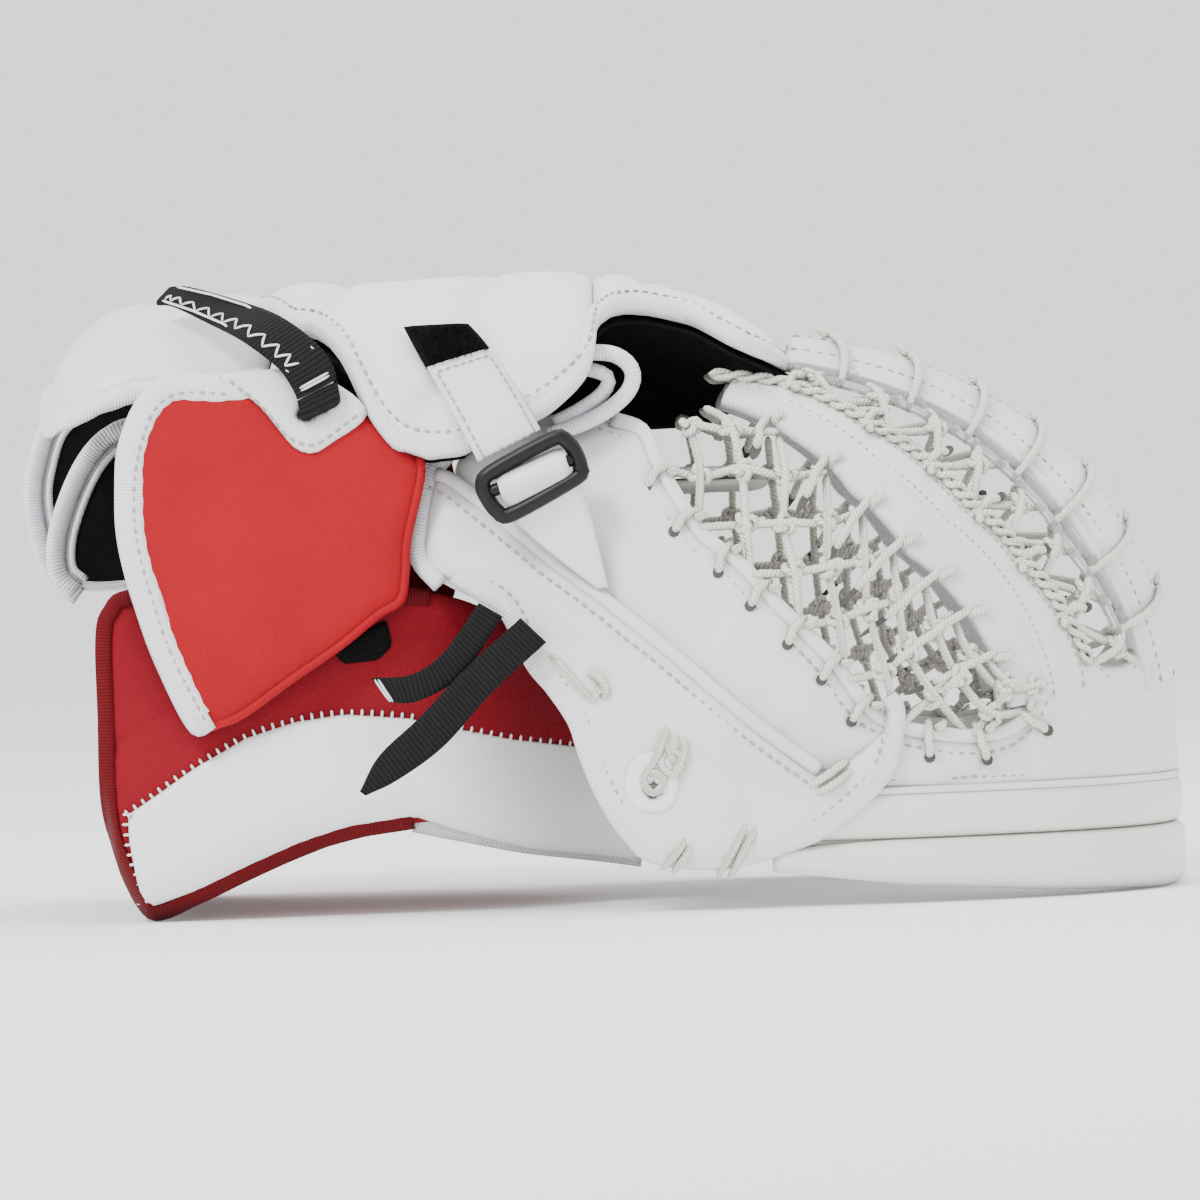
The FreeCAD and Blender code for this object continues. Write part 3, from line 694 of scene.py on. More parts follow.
# painted shade: dark grey-brown for the shade inside the punched lace holes
HOLE_SHADE = plain("hole_painted_shade", (0.05, 0.048, 0.045), (0.10, 0.095, 0.09), 0.95, 300.0, 0.1)
CLEAR = shader("clear_tube", (0.93, 0.95, 0.95), 0.06, Transmission_Weight=0.82, IOR=1.42)[0]

THUMB_BLEND = ("hand", "thumb", (0, RIDGE_Y * MM, 0), (0, -0.085, 0))
FINGER_BLEND = ("hand", "fingers", (0, RIDGE_Y * MM, 0), (0, 0.093, 0))


def place(obj, where, *nodes, pad=None):
    """Puts a piece on a body, or for a blend only bakes its transform into the mesh and leaves it unparented; hides the
    solids it stands for.
    """
    if isinstance(where, tuple):
        a, b, start, end = where
        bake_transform(obj)
        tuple(start)
        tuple(end)
    else:
        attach(obj, where)
    if nodes:
        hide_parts(*nodes)
    return obj


def flat_y(y):
    """An upright plane facing the thumb side, at y."""
    return lambda x, z, h: Vector((x, y - h, z))


# ==== the bowl: leather, rims and strips, on both sides ===================================
HALF_S = PLAN_LENGTH / 2
SEAM_Z = 38.0


def strip(a, b, h):
    """The pocket over the ridge: a is 2.6 mm for each degree, b is 100 for the full half width."""
    return ridge_point(a / 2.6, b / 100, h)


def tip(s, z, h):
    return rim(s, z, h)


APRON_EDGE = [(101, 65), (99, 51), (95, 42), (86, 33), (74, 24), (61, 19), (50, 16), (34, 14), (15, 17), (8, 23),
              (2, 31), (-4, 43), (-8, 54), (-11, 64), (-18, 75), (-25, 84)]
FOLD = [(-54, 148), (-48, 145), (-39, 138), (-28, 129), (-15, 118), (2, 105), (23, 87), (50, 63), (72, 46)]
APRON = (FOLD + [(84, 50), (96, 60)] + APRON_EDGE + [(-33, 101), (-41, 107), (-50, 113), (-59, 118), (-58, 138)])
PANEL = [(-48, 146), (-45, 158), (-24, 168), (-6, 170), (8, 167)] + WALL_TOP + [
    (152, 60), (152, SEAM_Z), (92, SEAM_Z), (60, 40), (40, 66), (10, 92), (-20, 116), (-38, 132)]
HEM = [(6, 166), (16, 162), (20, 153), (24, 145), (35, 127), (48, 116), (61, 101), (78, 83), (90, 66), (101, 59.5)]
SCALLOP = [(101, 59.5), (115, 56.5), (127, 55.5), (138, 57.5), (147, 65), (151, 73)]
CREASES = [([(128, 46), (140, 52), (149, 60)], 1.6, 1.3), ([(118, 41), (134, 44), (150, 50)], 1.3, 0.9),
           ([(60, 60), (80, 52), (96, 50)], 1.8, 0.8), ([(70, 72), (88, 60)], 2.0, 0.7)]

sides = [("thumb", wall, strip, tip, THUMB_BLEND, GREY_THREAD, WHITE, CREAM),
         ("finger", other_side(wall), other_side(strip), other_side(tip), FINGER_BLEND, GREY_THREAD, WHITE, CREAM)]

for label, skin, top, end, bend, thread, white, cream in sides:
    near = label == "thumb"
    body = "thumb" if near else "fingers"
    place(panel(f"{label} wall leather", PANEL, skin, 3.4, 7, white, 4.0, CREASES, (0.9, 26.0), 4.0, slack=0.02, lift=-1.6),
          body, *(["thumb_panel"] if near else ["finger_panel"]), pad=0.5)
    place(ribbon(f"{label} wall hem", HEM + SCALLOP[1:], skin, 5.0, 1.5, white, lift=1.1), body)
    place(stitches(f"{label} wall hem stitches", [[(x - 5.5, z - 3.2) for x, z in HEM],
                                                  [(x, z - 6.0) for x, z in SCALLOP]],
                   skin, thread, lift=1.9), body)
    # the two-tier rim with the leather's joining seam above it
    s0 = along_rim(40)
    s1 = along_rim(56)
    place(panel(f"{label} upper rim", [(s0, 22), (s0 + 60, 21.5), (HALF_S, 21.5), (HALF_S, SEAM_Z),
                                       (s0 + 60, SEAM_Z), (s0, SEAM_Z - 2)],
                end, 3.6, 4.5, cream, 3.6, (), (0.35, 30.0), 12.0, rounded=False, lift=-0.6),
          bend, *(["thumb_rim_upper", "tip_rim_upper"] if near else ["finger_rim_upper"]), pad=0.8)
    bottom = [(along_rim(x, 10), z) for x, z in RIM_BOTTOM[1:]]
    place(panel(f"{label} lower rim", [(s1, 14)] + bottom + [(HALF_S, 0.6), (HALF_S, 21.6), (s1 + 40, 21.6),
                                                             (s1, 20)],
                end, 4.2, 4.5, cream, 3.6, (), (0.35, 30.0), 14.0, rounded=False, lift=-0.2),
          bend, *(["thumb_rim_lower", "tip_rim_lower"] if near else ["finger_rim_lower"]), pad=0.8)
    place(ribbon(f"{label} rim seam welt", [(s0 + 6, SEAM_Z), (HALF_S, SEAM_Z)], end, 2.6, 1.9, white, lift=0.9,
                 rounded=False), bend)
    place(stitches(f"{label} rim seam stitches", [[(s0 + 6, SEAM_Z + 3.6), (HALF_S, SEAM_Z + 3.6)]], end, thread,
                   lift=1.2, rounded=False), bend)
    # the wall of the tip, scalloped between the strips
    s2 = along_rim(143)
    scallop_b = [(along_rim(147, 60), 76), (along_rim(163, 88), 88), (along_rim(171, 80), 77.5),
                 (along_rim(179, 80), 77), (along_rim(186, 88), 86), (HALF_S, 88)]
    place(panel(f"{label} tip leather", [(s2, SEAM_Z), (HALF_S, SEAM_Z)] + scallop_b[::-1] + [(s2, 70)],
                end, 3.0, 4.0, white, 4.0, [([(s2 + 6, 58), (s2 + 20, 64), (s2 + 36, 66)], 1.6, 0.8)],
                (0.8, 24.0), 6.0, rounded=False, lift=-1.0),
          bend, *(["tip_wall"] if near else []), pad=0.5)
    place(stitches(f"{label} tip stitches", [[(s, z - 4) for s, z in scallop_b]], end, thread, lift=1.7), bend)
    # the strips: near the edge net, and over the ridge
    low = [(13, 0.82), (46, 0.83), (61, 0.79), (72, 0.72), (83, 0.63)]
    high = [(13, 0.66), (30, 0.70), (46, 0.70), (64, 0.64), (76, 0.56), (83, 0.55)]
    degrees = list(range(10, 85, 3))
    lower = [(d * 2.6, between(d, low) * 100) for d in degrees]
    upper = [(d * 2.6, between(d, high) * 100) for d in degrees]
    place(panel(f"{label} strip", lower + upper[::-1], top, 2.6, 4.0, white, 3.6, (), (0.5, 18.0), 3.5, rounded=False,
                lift=0.2),
          bend, *(["near_strip"] if near else ["far_strip"]), pad=0.5)
    place(ribbon(f"{label} strip binding", [(a, b - 2.8) for a, b in lower], top, 7.4, 3.4, BINDING, lift=0.2,
                 wave=0.06), bend)
    place(stitches(f"{label} strip stitches", [[(a, b - 6.8) for a, b in lower], [(a, b + 2.6) for a, b in upper]],
                   top, thread, lift=2.6), bend)

RIDGE_NEAR = [(9, 0.44), (12, 0.45), (30, 0.50), (77, 0.42)]
degrees = list(range(8, 78, 3))
ridge_edge = [(d * 2.6, between(d, RIDGE_NEAR) * 100) for d in degrees]
ridge_back = [(d * 2.6, 0.5) for d in degrees]
place(panel("ridge strip near", ridge_edge + ridge_back[::-1], strip, 2.8, 4.0, WHITE, 4.0, (), (0.6, 20.0), 3.5,
            rounded=False, lift=0.4), THUMB_BLEND, "ridge_strip", "ridge_core", pad=0.5)
place(panel("ridge strip far", [(a, 0.5) for a, _ in ridge_edge] + [(a, 10) for a, _ in ridge_edge][::-1],
            other_side(strip), 2.8, 4.0, WHITE, 4.0, (), (0.3, 20.0), 3.5, rounded=False, lift=0.4), FINGER_BLEND,
      pad=0.5)
place(ribbon("ridge strip fold", [(a, b + 0.6) for a, b in ridge_edge], strip, 4.0, 2.4, WHITE, lift=0.6),
      THUMB_BLEND)
place(stitches("ridge stitches", [[(a, b - 6.5) for a, b in ridge_edge], [(a, 6) for a, _ in ridge_edge]],
               strip, GREY_THREAD, lift=3.2), THUMB_BLEND)


# ==== laces ================================================================================
def spot(line, t):
    """A point at share t along a list of points."""
    f = max(0.0, min(len(line) - 1.001, t * (len(line) - 1)))
    i = int(f)
    return line[i].lerp(line[i + 1], f - i)


def net(name, upper, lower, columns, rows, bulge, lean, where, *nodes, knot=1.15, seed=0.0):
    """Laces crossing between two edges, in knotted diamonds: upper and lower are 3-D lines."""
    def at(c, r):
        t = (c + lean * r / rows) / columns
        a, b = spot(upper, t), spot(lower, t)
        share = r / rows
        p = a.lerp(b, share)
        out = (b - a).cross(spot(upper, t + 0.03) - spot(upper, t - 0.03)).normalized()
        if out.dot(p - Vector((70, RIDGE_Y, 70))) < 0:
            out = -out
        sway = noise.noise_vector(Vector((c * 1.7, r * 2.3, seed))) * (2.6 if 0 < r < rows else 0.6)
        return p + out * bulge * math.sin(PI * share) + sway, out

    lines, knots = [], []
    for way in (1, -1):
        for k in range(-rows, columns + rows + 1):
            run = []
            for r in range(rows + 1):
                c = k + way * r * 0.5
                if -0.3 <= c <= columns + 0.3:
                    p, out = at(c, r)
                    run.append(p + out * 1.5 * way * (1 if r % 2 else -1))
                elif len(run) > 1:
                    break
                else:
                    run = []
            if len(run) > 1:
                lines.append(run)
    for r in range(1, rows):
        for k in range(0, 2 * columns + 1):
            c = k / 2
            if (k - r) % 2 == 0 and 0 <= c <= columns:
                p, out = at(c, r)
                knots.append(trefoil(p, knot, 2.4 * k + r, out))
    place(tubes(f"{name} laces", lines, LACE_R, LACE, per=5), where, *nodes)
    place(tubes(f"{name} knots", knots, LACE_R * 0.92, LACE, closed=True, per=3, sides=7), where)


def lacing(name, path, count, reach, skin_at, where, start=0.0, end=1.0, tail=3.5):
    """Short wraps over an edge: from the net, over the edge and into a hole with a nub proud of it."""
    lines, holes, faces = [], [], []
    for i in range(count):
        t = start + (end - start) * (i + 0.5) / count
        f = t * (len(path) - 1)
        k = min(len(path) - 2, int(f))
        a = Vector(path[k]).lerp(Vector(path[k + 1]), f - k)
        ahead = (Vector(path[k + 1]) - Vector(path[k])).normalized()
        across = Vector((-ahead.y, ahead.x)) * (1 if reach > 0 else -1)
        size = abs(reach)
        run = [skin_at(*(a - across * 4.5 * (1 if size > 0 else -1)), -2.5), skin_at(*(a - across * 1.5), 2.2),
               skin_at(*(a + across * 2.5), 4.0), skin_at(*(a + across * size * 0.6 + ahead * 1.0), 4.0),
               skin_at(*(a + across * size * 0.85 + ahead * 1.6), 3.2),
               skin_at(*(a + across * size + ahead * 2.0), 0.2)]
        lines.append(run)
        # painted shade: each lace hole is a flat dark disc laid on the surface, not an opening
        hole = a + across * (size + 0.4) + ahead * 2.1
        first = len(holes)
        for j in range(8):
            w = 2 * PI * j / 8
            holes.append(skin_at(hole.x + 2.0 * math.cos(w), hole.y + 2.0 * math.sin(w), 2.6))
        faces.append(list(range(first, first + 8)))
        nub = a - across * 1.0 + ahead * 2.8
        lines.append([skin_at(*nub, 1.0), skin_at(*(nub - across * 1.0), 3.6),
                      skin_at(*(nub - across * tail * 0.7 + ahead), 5.0), skin_at(*(nub - across * tail + ahead), 5.6)])
    place(tubes(f"{name} wraps", lines, LACE_R, LACE), where)
    place(new_object(f"{name} holes", holes, faces, HOLE_SHADE), where)


def lifted(line, skin_at, h):
    return [skin_at(a, b, h) for a, b in line]


for label, skin, top, end, bend, thread, white, cream in sides:
    near = label == "thumb"
    edge = [(p.x, p.y) for p in resampled(smooth([Vector((x, z, 0)) for x, z in HEM[1:]], 6), 3.0)]
    foot = lifted(edge, skin, 1.0)
    scallop = [(p.x, p.y) for p in resampled(smooth([Vector((x, z, 0)) for x, z in SCALLOP], 6), 3.0)]
    base = foot + lifted(scallop, skin, 1.0)[1:]
    low_edge = [(d * 2.6, between(d, low) * 100 + 2) for d in range(84, 12, -1)]
    high_edge = [(d * 2.6, between(d, high) * 100) for d in range(84, 12, -1)]
    net(f"{label} side net", lifted(low_edge, top, 0.5), base, 8, 4, 3.0, 0.6, bend,
        "thumb_side_net" if near else "finger_side_net", seed=1.0 if near else 5.0)
    lacing(f"{label} strip low", low_edge, 7, -6.0, top, bend, 0.03, 0.97, tail=2.5)
    lacing(f"{label} hem", edge, 7, -7.0, skin, "thumb" if near else "fingers", 0.05, 0.95)
    lacing(f"{label} scallop", scallop, 3, -8.0, skin, "thumb" if near else "fingers", 0.0, 0.9)
    ridge_line = [(d * 2.6, (between(d, RIDGE_NEAR) if near else 0.04) * 100 + 1) for d in range(77, 9, -1)]
    net(f"{label} middle net", lifted(ridge_line, top, 0.5), lifted(high_edge[4:], top, 1.5), 8, 2, 1.5, 0.3, bend,
        "middle_net" if near else "far_middle_net", seed=9.0 if near else 12.0)
    rope = [top(a, b + 0.4 + 1.1 * math.sin(a * 0.55), 3.0 + 0.9 * math.cos(a * 0.55)) for a, b in high_edge]
    second = [top(a, b + 0.4 - 1.1 * math.sin(a * 0.55), 3.0 - 0.9 * math.cos(a * 0.55)) for a, b in high_edge]
    place(tubes(f"{label} strip rope", [rope, second], LACE_R * 0.85, LACE, per=3), bend)
    lacing(f"{label} strip high", high_edge, 6, 5.0, top, bend, 0.04, 0.96, tail=2.5)

long_wraps = []
for i in range(7):
    d = 16 + i * 9.0
    across = [(d * 2.6 + j * 1.2, between(d, RIDGE_NEAR) * 100 + 8 - j * (between(d, RIDGE_NEAR) * 100 + 2) / 6)
              for j in range(7)]
    long_wraps.append([strip(a, b, 1.0 if j == 0 else 5.0) for j, (a, b) in enumerate(across)])
    a, b = across[-1]
    long_wraps.append([strip(a + 1, b + 3, 4.2), strip(a + 3, b + 1, 6.2), strip(a + 4.5, b, 6.6)])
place(tubes("ridge cross wraps", long_wraps, LACE_R, LACE), THUMB_BLEND)
for label, deep in (("outer", 9.5), ("inner", 13.2)):
    line = [ridge_point(d, between(d, RIDGE_NEAR) + (0.045 if deep < 10 else 0.085), 2.0) for d in range(13, 77, 3)]
    place(tubes(f"clear tube {label}", [line], 1.75, CLEAR, sides=14, twist=0.0), THUMB_BLEND, f"clear_tube_{label}")


# ==== apron, its laces and washer ==========================================================
APRON_BLEND = ("hand", "thumb", (-0.066, 0, 0), (-0.020, 0, 0))
place(panel("thumb apron", APRON, wall, 4.4, 8, WHITE, 4.0,
            [([(-40, 128), (-10, 104), (14, 84)], 2.4, 0.9), ([(20, 60), (44, 44), (70, 36)], 2.2, 0.8),
             ([(-8, 92), (4, 70), (6, 50)], 2.0, 0.7)], (1.3, 26.0), 1.0, slack=0.03, lift=1.4),
      APRON_BLEND, "thumb_apron", pad=0.6)
place(ribbon("apron fold", FOLD, wall, 5.0, 3.4, WHITE, lift=2.4), APRON_BLEND)
place(stitches("apron fold stitches", [[(x - 3.6, z - 4.6) for x, z in FOLD]], wall, GREY_THREAD, lift=5.9), APRON_BLEND)
place(ribbon("apron binding", [(98, 71)] + APRON_EDGE + [(-33, 101), (-41, 107), (-50, 113)], wall, 6.8, 3.6, BINDING,
             shift=-2.4, lift=1.6, wave=0.05), APRON_BLEND)
place(stitches("apron binding stitches", [offset([(98, 71)] + APRON_EDGE + [(-33, 101), (-41, 107), (-50, 113)], -6.6)],
               wall, GREY_THREAD, lift=5.5, rounded=False), APRON_BLEND)
place(ribbon("heel binding", [(-50, 157), (-56, 149), (-60, 134), (-61, 121), (-54, 112)], wall, 6.4, 3.4, BINDING,
             lift=1.2, wave=0.06), APRON_BLEND)
HEEL = [(-54, 146), (-58, 138), (-60, 119), (-52, 112), (-40, 106), (-30, 101), (-24, 112), (-40, 134)]
place(panel("heel leather", HEEL, wall, 2.0, 5, WHITE, 4.0, (), (0.4, 20.0), 3.0, lift=-0.5), "hand", "heel_leather",
      pad=0.4)

ties = [[(-20, 90), (-14, 84), (-8, 77), (-3, 72), (0, 75), (3, 71)], [(-6, 79), (-2, 80), (2, 75), (-2, 70)],
        [(22, 65), (20, 58), (17, 51), (13, 45), (16, 40), (20, 44), (16, 47), (12, 43)],
        [(23, 62), (27, 55), (24, 48), (18, 44)], [(20, 55), (26, 52), (23, 46), (19, 50), (22, 56)],
        [(28, 27), (24, 20), (18, 14)], [(31, 26), (26, 18), (22, 13)], [(48, 31), (43, 21), (37, 11)],
        [(52, 30), (46, 20), (41, 10)], [(82, 49), (74, 44), (66, 39)], [(84, 46), (76, 41), (69, 37)]]
place(tubes("apron tie laces",
            [[wall(x, z, 3.0 if i in (0, len(run) - 1) else 6.6) for i, (x, z) in enumerate(run)] for run in ties],
            LACE_R * 0.95, LACE), "thumb", "apron_laces")
drop = [(16 + 9 * math.cos(a), 42 + (9 if math.sin(a) < 0 else 12) * math.sin(a)) for a in
        [2 * PI * k / 20 for k in range(20)]]
place(panel("lace washer", drop, wall, 1.6, 1.4, BRIGHT, 2.4, (), (0, 20), 0.3, lift=5.0, holes=[(16, 41, 2.0)]),
      "thumb", "lace_washer")

# ==== cuff =================================================================================
CUFF_NEAR = RIDGE_Y - 94.0
CUFF_FAR = RIDGE_Y + 94.0
CUFF_LOW = [(-171, 38), (-167, 20), (-157, 1), (-140, 6), (-122, 14), (-105, 21), (-65, 30), (-40, 26), (-27, 22),
            (0, 18), (12, 16)]
CUFF_OUTLINE = CUFF_LOW[:7] + [(-44, 30), (-26, 27), (0, 24), (9, 24), (10, 40), (-10, 80), (-34, 100), (-60, 110), (-110, 113), (-158, 113), (-168, 107),
                           (-171, 97)]


def cuff_near(x, z, h):
    low = between(x, CUFF_LOW)
    curl = max(0.0, 1 - (z - low) / 26)
    tuck = min(1.0, max(0.0, (x + 62) / 70))
    return Vector((x, CUFF_NEAR - h + 9 * curl**3 + 56 * tuck * tuck * (3 - 2 * tuck), z))


def cuff_far(x, z, h):
    p = cuff_near(x, z, h)
    return Vector((p.x, 2 * RIDGE_Y - p.y, p.z))


def cuff_under(x, y, h):
    side = min(1.0, abs(y - RIDGE_Y) / 92)
    return Vector((x, y, between(x, CUFF_LOW) + 1.2 + 9 * side**8 - h))


def cuff_floor(x, y, h):
    p = cuff_under(x, y, 0)
    return Vector((p.x, p.y, p.z + 13 + h))


place(panel("cuff side near", CUFF_OUTLINE, cuff_near, 2.4, 7, CRIMSON, 4.0,
            [([(-168, 60), (-140, 75), (-112, 84)], 2.6, 0.8)], (1.2, 34.0), 12.5, lift=-1.0), "cuff", "cuff_shell",
      pad=0.7)
CUFF_FAR_SIDE = CUFF_LOW[:8] + [(-33, 25), (-32, 58), (-38, 86), (-60, 90), (-110, 91), (-158, 91), (-169, 88)]
place(panel("cuff side far", CUFF_FAR_SIDE, cuff_far, 2.4, 7, CRIMSON, 5.0, (),
            (1.0, 34.0), 12.5, lift=-1.0), "cuff", pad=0.7)
place(panel("cuff underside", [(-156, -80), (-60, -78), (-34, -52), (4, -16), (4, 24), (-34, 60),
                               (-60, 88), (-156, 88)], cuff_under, 1.5, 5, CRIMSON, 5.0, (),
            (0.8, 30.0), 11.0, rounded=False), "cuff", pad=0.7)
place(panel("cuff floor lining", [(-154, -74), (-42, -74), (-42, 82), (-154, 82)], cuff_floor, 1.6, 3, LINING, 6.0,
            (), (0.4, 20.0), 1.0, rounded=False), "cuff", "cuff_liner")
for label, skin in (("near", cuff_near), ("far", cuff_far)):
    place(panel(f"cuff lining {label}", [(-150, 24), (-60, 42), (-42, 42), (-42, 88), (-100, 88), (-158, 86),
                                         (-164, 50)],
                lambda x, z, h: skin(x, z, -13.4 - h), 1.4, 4, LINING, 6.0, (), (0.4, 20.0), 0.6), "cuff")
TOP_CURVE = [(-163, 37), (-155, 42), (-140, 52), (-122, 62), (-105, 67), (-88, 69), (-66, 67), (-50, 63), (-31, 58), (-8, 54), (8, 50)]
CURVE_PANEL = TOP_CURVE + [(12, 13), (-8, 16), (-27, 19.5), (-44, 25), (-65, 33), (-88, 30), (-105, 25), (-122, 18), (-140, 10), (-155, 5),
                           (-160, 6), (-161, 14), (-163, 29)]
place(panel("curved cuff panel", CURVE_PANEL, cuff_near, 2.6, 3.0, BRIGHT, 3.6, (), (0.35, 40.0), 0.3, lift=1.0,
            rounded=False), "cuff", "cuff_panel", pad=0.4)


def whip(name, line, skin, material, gap=3.4, size=2.6, lift=2.2, where="cuff"):
    """Small overcast stitches across an edge."""
    path = resampled(smooth([Vector((x, z, 0)) for x, z in line], 6), gap)
    rows = []
    for i, (p, s) in enumerate(zip(path, side_of(path, False))):
        wobble = noise.noise(Vector((i * 3.1, 0, 0))) * 0.8
        a = p.xy - s * (size / 2 + wobble)
        b = p.xy + s * (size / 2)
        rows.append([(a.x, a.y), (b.x, b.y)])
    place(stitches(name, rows, skin, material, spacing=size + 1, length=size, radius=0.5, lift=lift, rounded=False),
          where)


whip("cuff whip stitches", TOP_CURVE, cuff_near, THREAD)
whip("cuff end whip stitches", [(-163, 37), (-163, 29), (-161, 14), (-160, 6)], cuff_near, THREAD)
place(ribbon("cuff binding near", [(-58, 109.5), (-110, 112.5), (-158, 112.5), (-168, 107), (-171, 97),
                                   (-171, 70), (-171, 38), (-167, 20), (-157, 1.5), (-140, 6.5), (-122, 14.5),
                                   (-105, 21.5), (-88, 27), (-66, 30)],
             cuff_near, 6.0, 2.6, RED_BIND, shift=1.6, lift=0.2, wave=0.05), "cuff")
place(ribbon("cuff mesh strip", [(-66, 30), (-48, 25.5), (-27, 20), (0, 15), (12, 13)], cuff_near, 6.0, 1.4, MESH_TAPE,
             shift=0.5, lift=-1.4), "cuff")
place(panel("cuff hook tab", [(-92, 91), (-73, 101), (-71, 92), (-76, 87), (-88, 86)], cuff_near, 1.8, 1.4, HOOK, 2.4,
            lift=1.6, rounded=False), "cuff", "cuff_hook_tab")
# a piece of lining closes the way from the cuff into the pocket's foot
place(panel("cuff gusset", [(-46, -66), (-22, -46), (-22, 54), (-46, 74)],
            lambda x, y, h: Vector((x, y, between(x, CUFF_LOW) + 4 + 0.3 * max(0, x + 40) + h)), 2.0, 4, LINING, 6.0,
            rounded=False), "cuff")

# ==== red wrist flap =======================================================================
def flap(x, z, h):
    swell = 5.0 * math.exp(-(((x + 112) / 44) ** 2) - ((z - 125) / 56) ** 2)
    return Vector((x, -96.5 - swell - h, z))


FLAP = [(-128, 185), (-143, 186), (-152, 181), (-158, 172), (-162, 160), (-163, 147), (-163, 134), (-161, 121),
        (-157, 106), (-151, 88), (-140, 65), (-125, 68), (-105, 81), (-88, 92), (-75, 102), (-67, 107), (-65, 117),
        (-64, 128), (-59, 148), (-59, 155), (-68, 163), (-77, 171), (-96, 184), (-112, 187)]
place(panel("wrist flap", FLAP, flap, 4.2, 9, RED, 4.0,
            [([(-150, 110), (-120, 116), (-90, 112)], 7, 0.6), ([(-134, 150), (-110, 140), (-84, 142)], 6, 0.5)],
            (1.1, 40.0), 3.4, lift=-0.4), "wrist_flap", "wrist_flap", pad=0.7)
FLAP_LEFT = [(-112, 187), (-128, 185.5), (-143, 186), (-152, 181), (-158, 172), (-162, 160), (-163, 147), (-163, 134),
             (-161, 121), (-157, 106), (-151, 88), (-140, 65), (-132, 66.5)]
place(ribbon("flap binding", FLAP_LEFT, flap, 11.0, 4.4, BINDING, shift=4.6, lift=0.6, wave=0.05), "wrist_flap")
place(stitches("flap binding stitches", [[(-124, 179), (-140, 180), (-148, 176), (-152, 169), (-155.5, 158),
                                          (-157, 147), (-157, 134), (-155, 122), (-151, 107), (-145.5, 90),
                                          (-135, 68)]],
               flap, GREY_THREAD, lift=4.9), "wrist_flap")
place(ribbon("flap lower binding", [(-140, 65.5), (-125, 68), (-105, 81), (-88, 92), (-75, 102), (-67, 107), (-65, 117),
                                    (-64, 128), (-59, 148), (-59, 156)],
             flap, 3.4, 3.0, RED, shift=1.0, lift=0.0), "wrist_flap")
YOKE = [(-128, 185), (-115, 176), (-107, 166), (-102, 160), (-96, 158), (-90, 161), (-77, 171), (-88, 182), (-104, 187)]
place(panel("flap yoke", YOKE, flap, 1.8, 2.2, WHITE, 3.0, (), (0.2, 20.0), 0.2, lift=3.7,
            holes=[(-98.5, 171.5, 1.6), (-95.5, 173, 1.6), (-92.5, 174.5, 1.6)]), "wrist_flap", "flap_yoke")
place(stitches("yoke stitches", [[(-124, 184), (-113, 174.5), (-105, 164.5), (-101, 162), (-96, 160.5), (-91, 163),
                                  (-80, 171)]], flap, GREY_THREAD, lift=5.8), "wrist_flap")


# ==== strap and tails ======================================================================
def strap(name, rows, thick, material, where, *nodes, per=5, edge_rows=None):
    """A flat strap through (left, right) edge points in 3-D."""
    left = smooth([Vector(a) for a, _ in rows], per)
    right = smooth([Vector(b) for _, b in rows], per)
    total, across = len(left), 9
    verts, uvs, run = [], [], 0.0
    for i in range(total):
        if i:
            run += ((left[i] + right[i]) / 2 - (left[i - 1] + right[i - 1]) / 2).length
        ahead = (left[min(total - 1, i + 1)] - left[max(0, i - 1)]).normalized()
        side = right[i] - left[i]
        out = ahead.cross(side).normalized()
        if out.y > 0:
            out = -out
        for k in range(2 * across):
            t = (k if k < across else 2 * across - 1 - k) / (across - 1)
            body = thick / 2 * (1 - (2 * t - 1) ** 8 * 0.7)
            verts.append(left[i] + side * t + out * (body if k < across else -body))
            uvs.append((run, t * side.length))
    n = 2 * across
    faces = [[i * n + k, (i + 1) * n + k, (i + 1) * n + (k + 1) % n, i * n + (k + 1) % n]
             for i in range(total - 1) for k in range(n)]
    faces += [list(range(n)), [(total - 1) * n + k for k in reversed(range(n))]]
    obj = place(new_object(name, verts, faces, material, uvs), where, *nodes)

    def on(s, t, h):
        f = max(0.0, min(total - 1.001, s * (total - 1)))
        i = int(f)
        a, b = left[i].lerp(left[i + 1], f - i), right[i].lerp(right[i + 1], f - i)
        ahead = (left[i + 1] - left[i]).normalized()
        out = ahead.cross(b - a).normalized()
        if out.y > 0:
            out = -out
        return a.lerp(b, t) + out * (thick / 2 + h)

    return obj, on


def bars(name, on, rows, material, where, radius=0.45):
    """Box and zigzag stitching on a strap: rows are lists of (share along, share across)."""
    lines = []
    for row in rows:
        for a, b in zip(row, row[1:]):
            lines.append([on(*a, 0.0), on(*((a[0] + b[0]) / 2, (a[1] + b[1]) / 2), 0.35), on(*b, 0.0)])
    place(tubes(name, lines, radius, material, sides=5, step=0.9, per=2, twist=0.0), where)


strap_rows = [((-100.5, -107.8, 176.5), (-86.8, -107.8, 183)), ((-102.5, -108.4, 181), (-88.5, -108.4, 188.5)),
              ((-107, -107.6, 187.5), (-94, -107.6, 196)), ((-119, -99, 197), (-106, -99, 205)),
              ((-131, -77, 203.5), (-122, -77, 211.5)), ((-144, -56, 210), (-138, -56, 216.5)),
              ((-150, -49, 211), (-144, -49, 217))]
_, on = strap("wrist strap", strap_rows, 2.6, WEBBING, "wrist_strap", "wrist_strap")
zigzag = [(0.28 + 0.03 * i, 0.14 if i % 2 else 0.42) for i in range(22)]
bars("strap bartacks", on, [zigzag, [(0.27, 0.12), (0.93, 0.12)], [(0.3, 0.86), (0.9, 0.86)],
                            [(0.08, 0.15), (0.08, 0.85)], [(0.11, 0.85), (0.11, 0.15)]], THREAD, "wrist_strap")
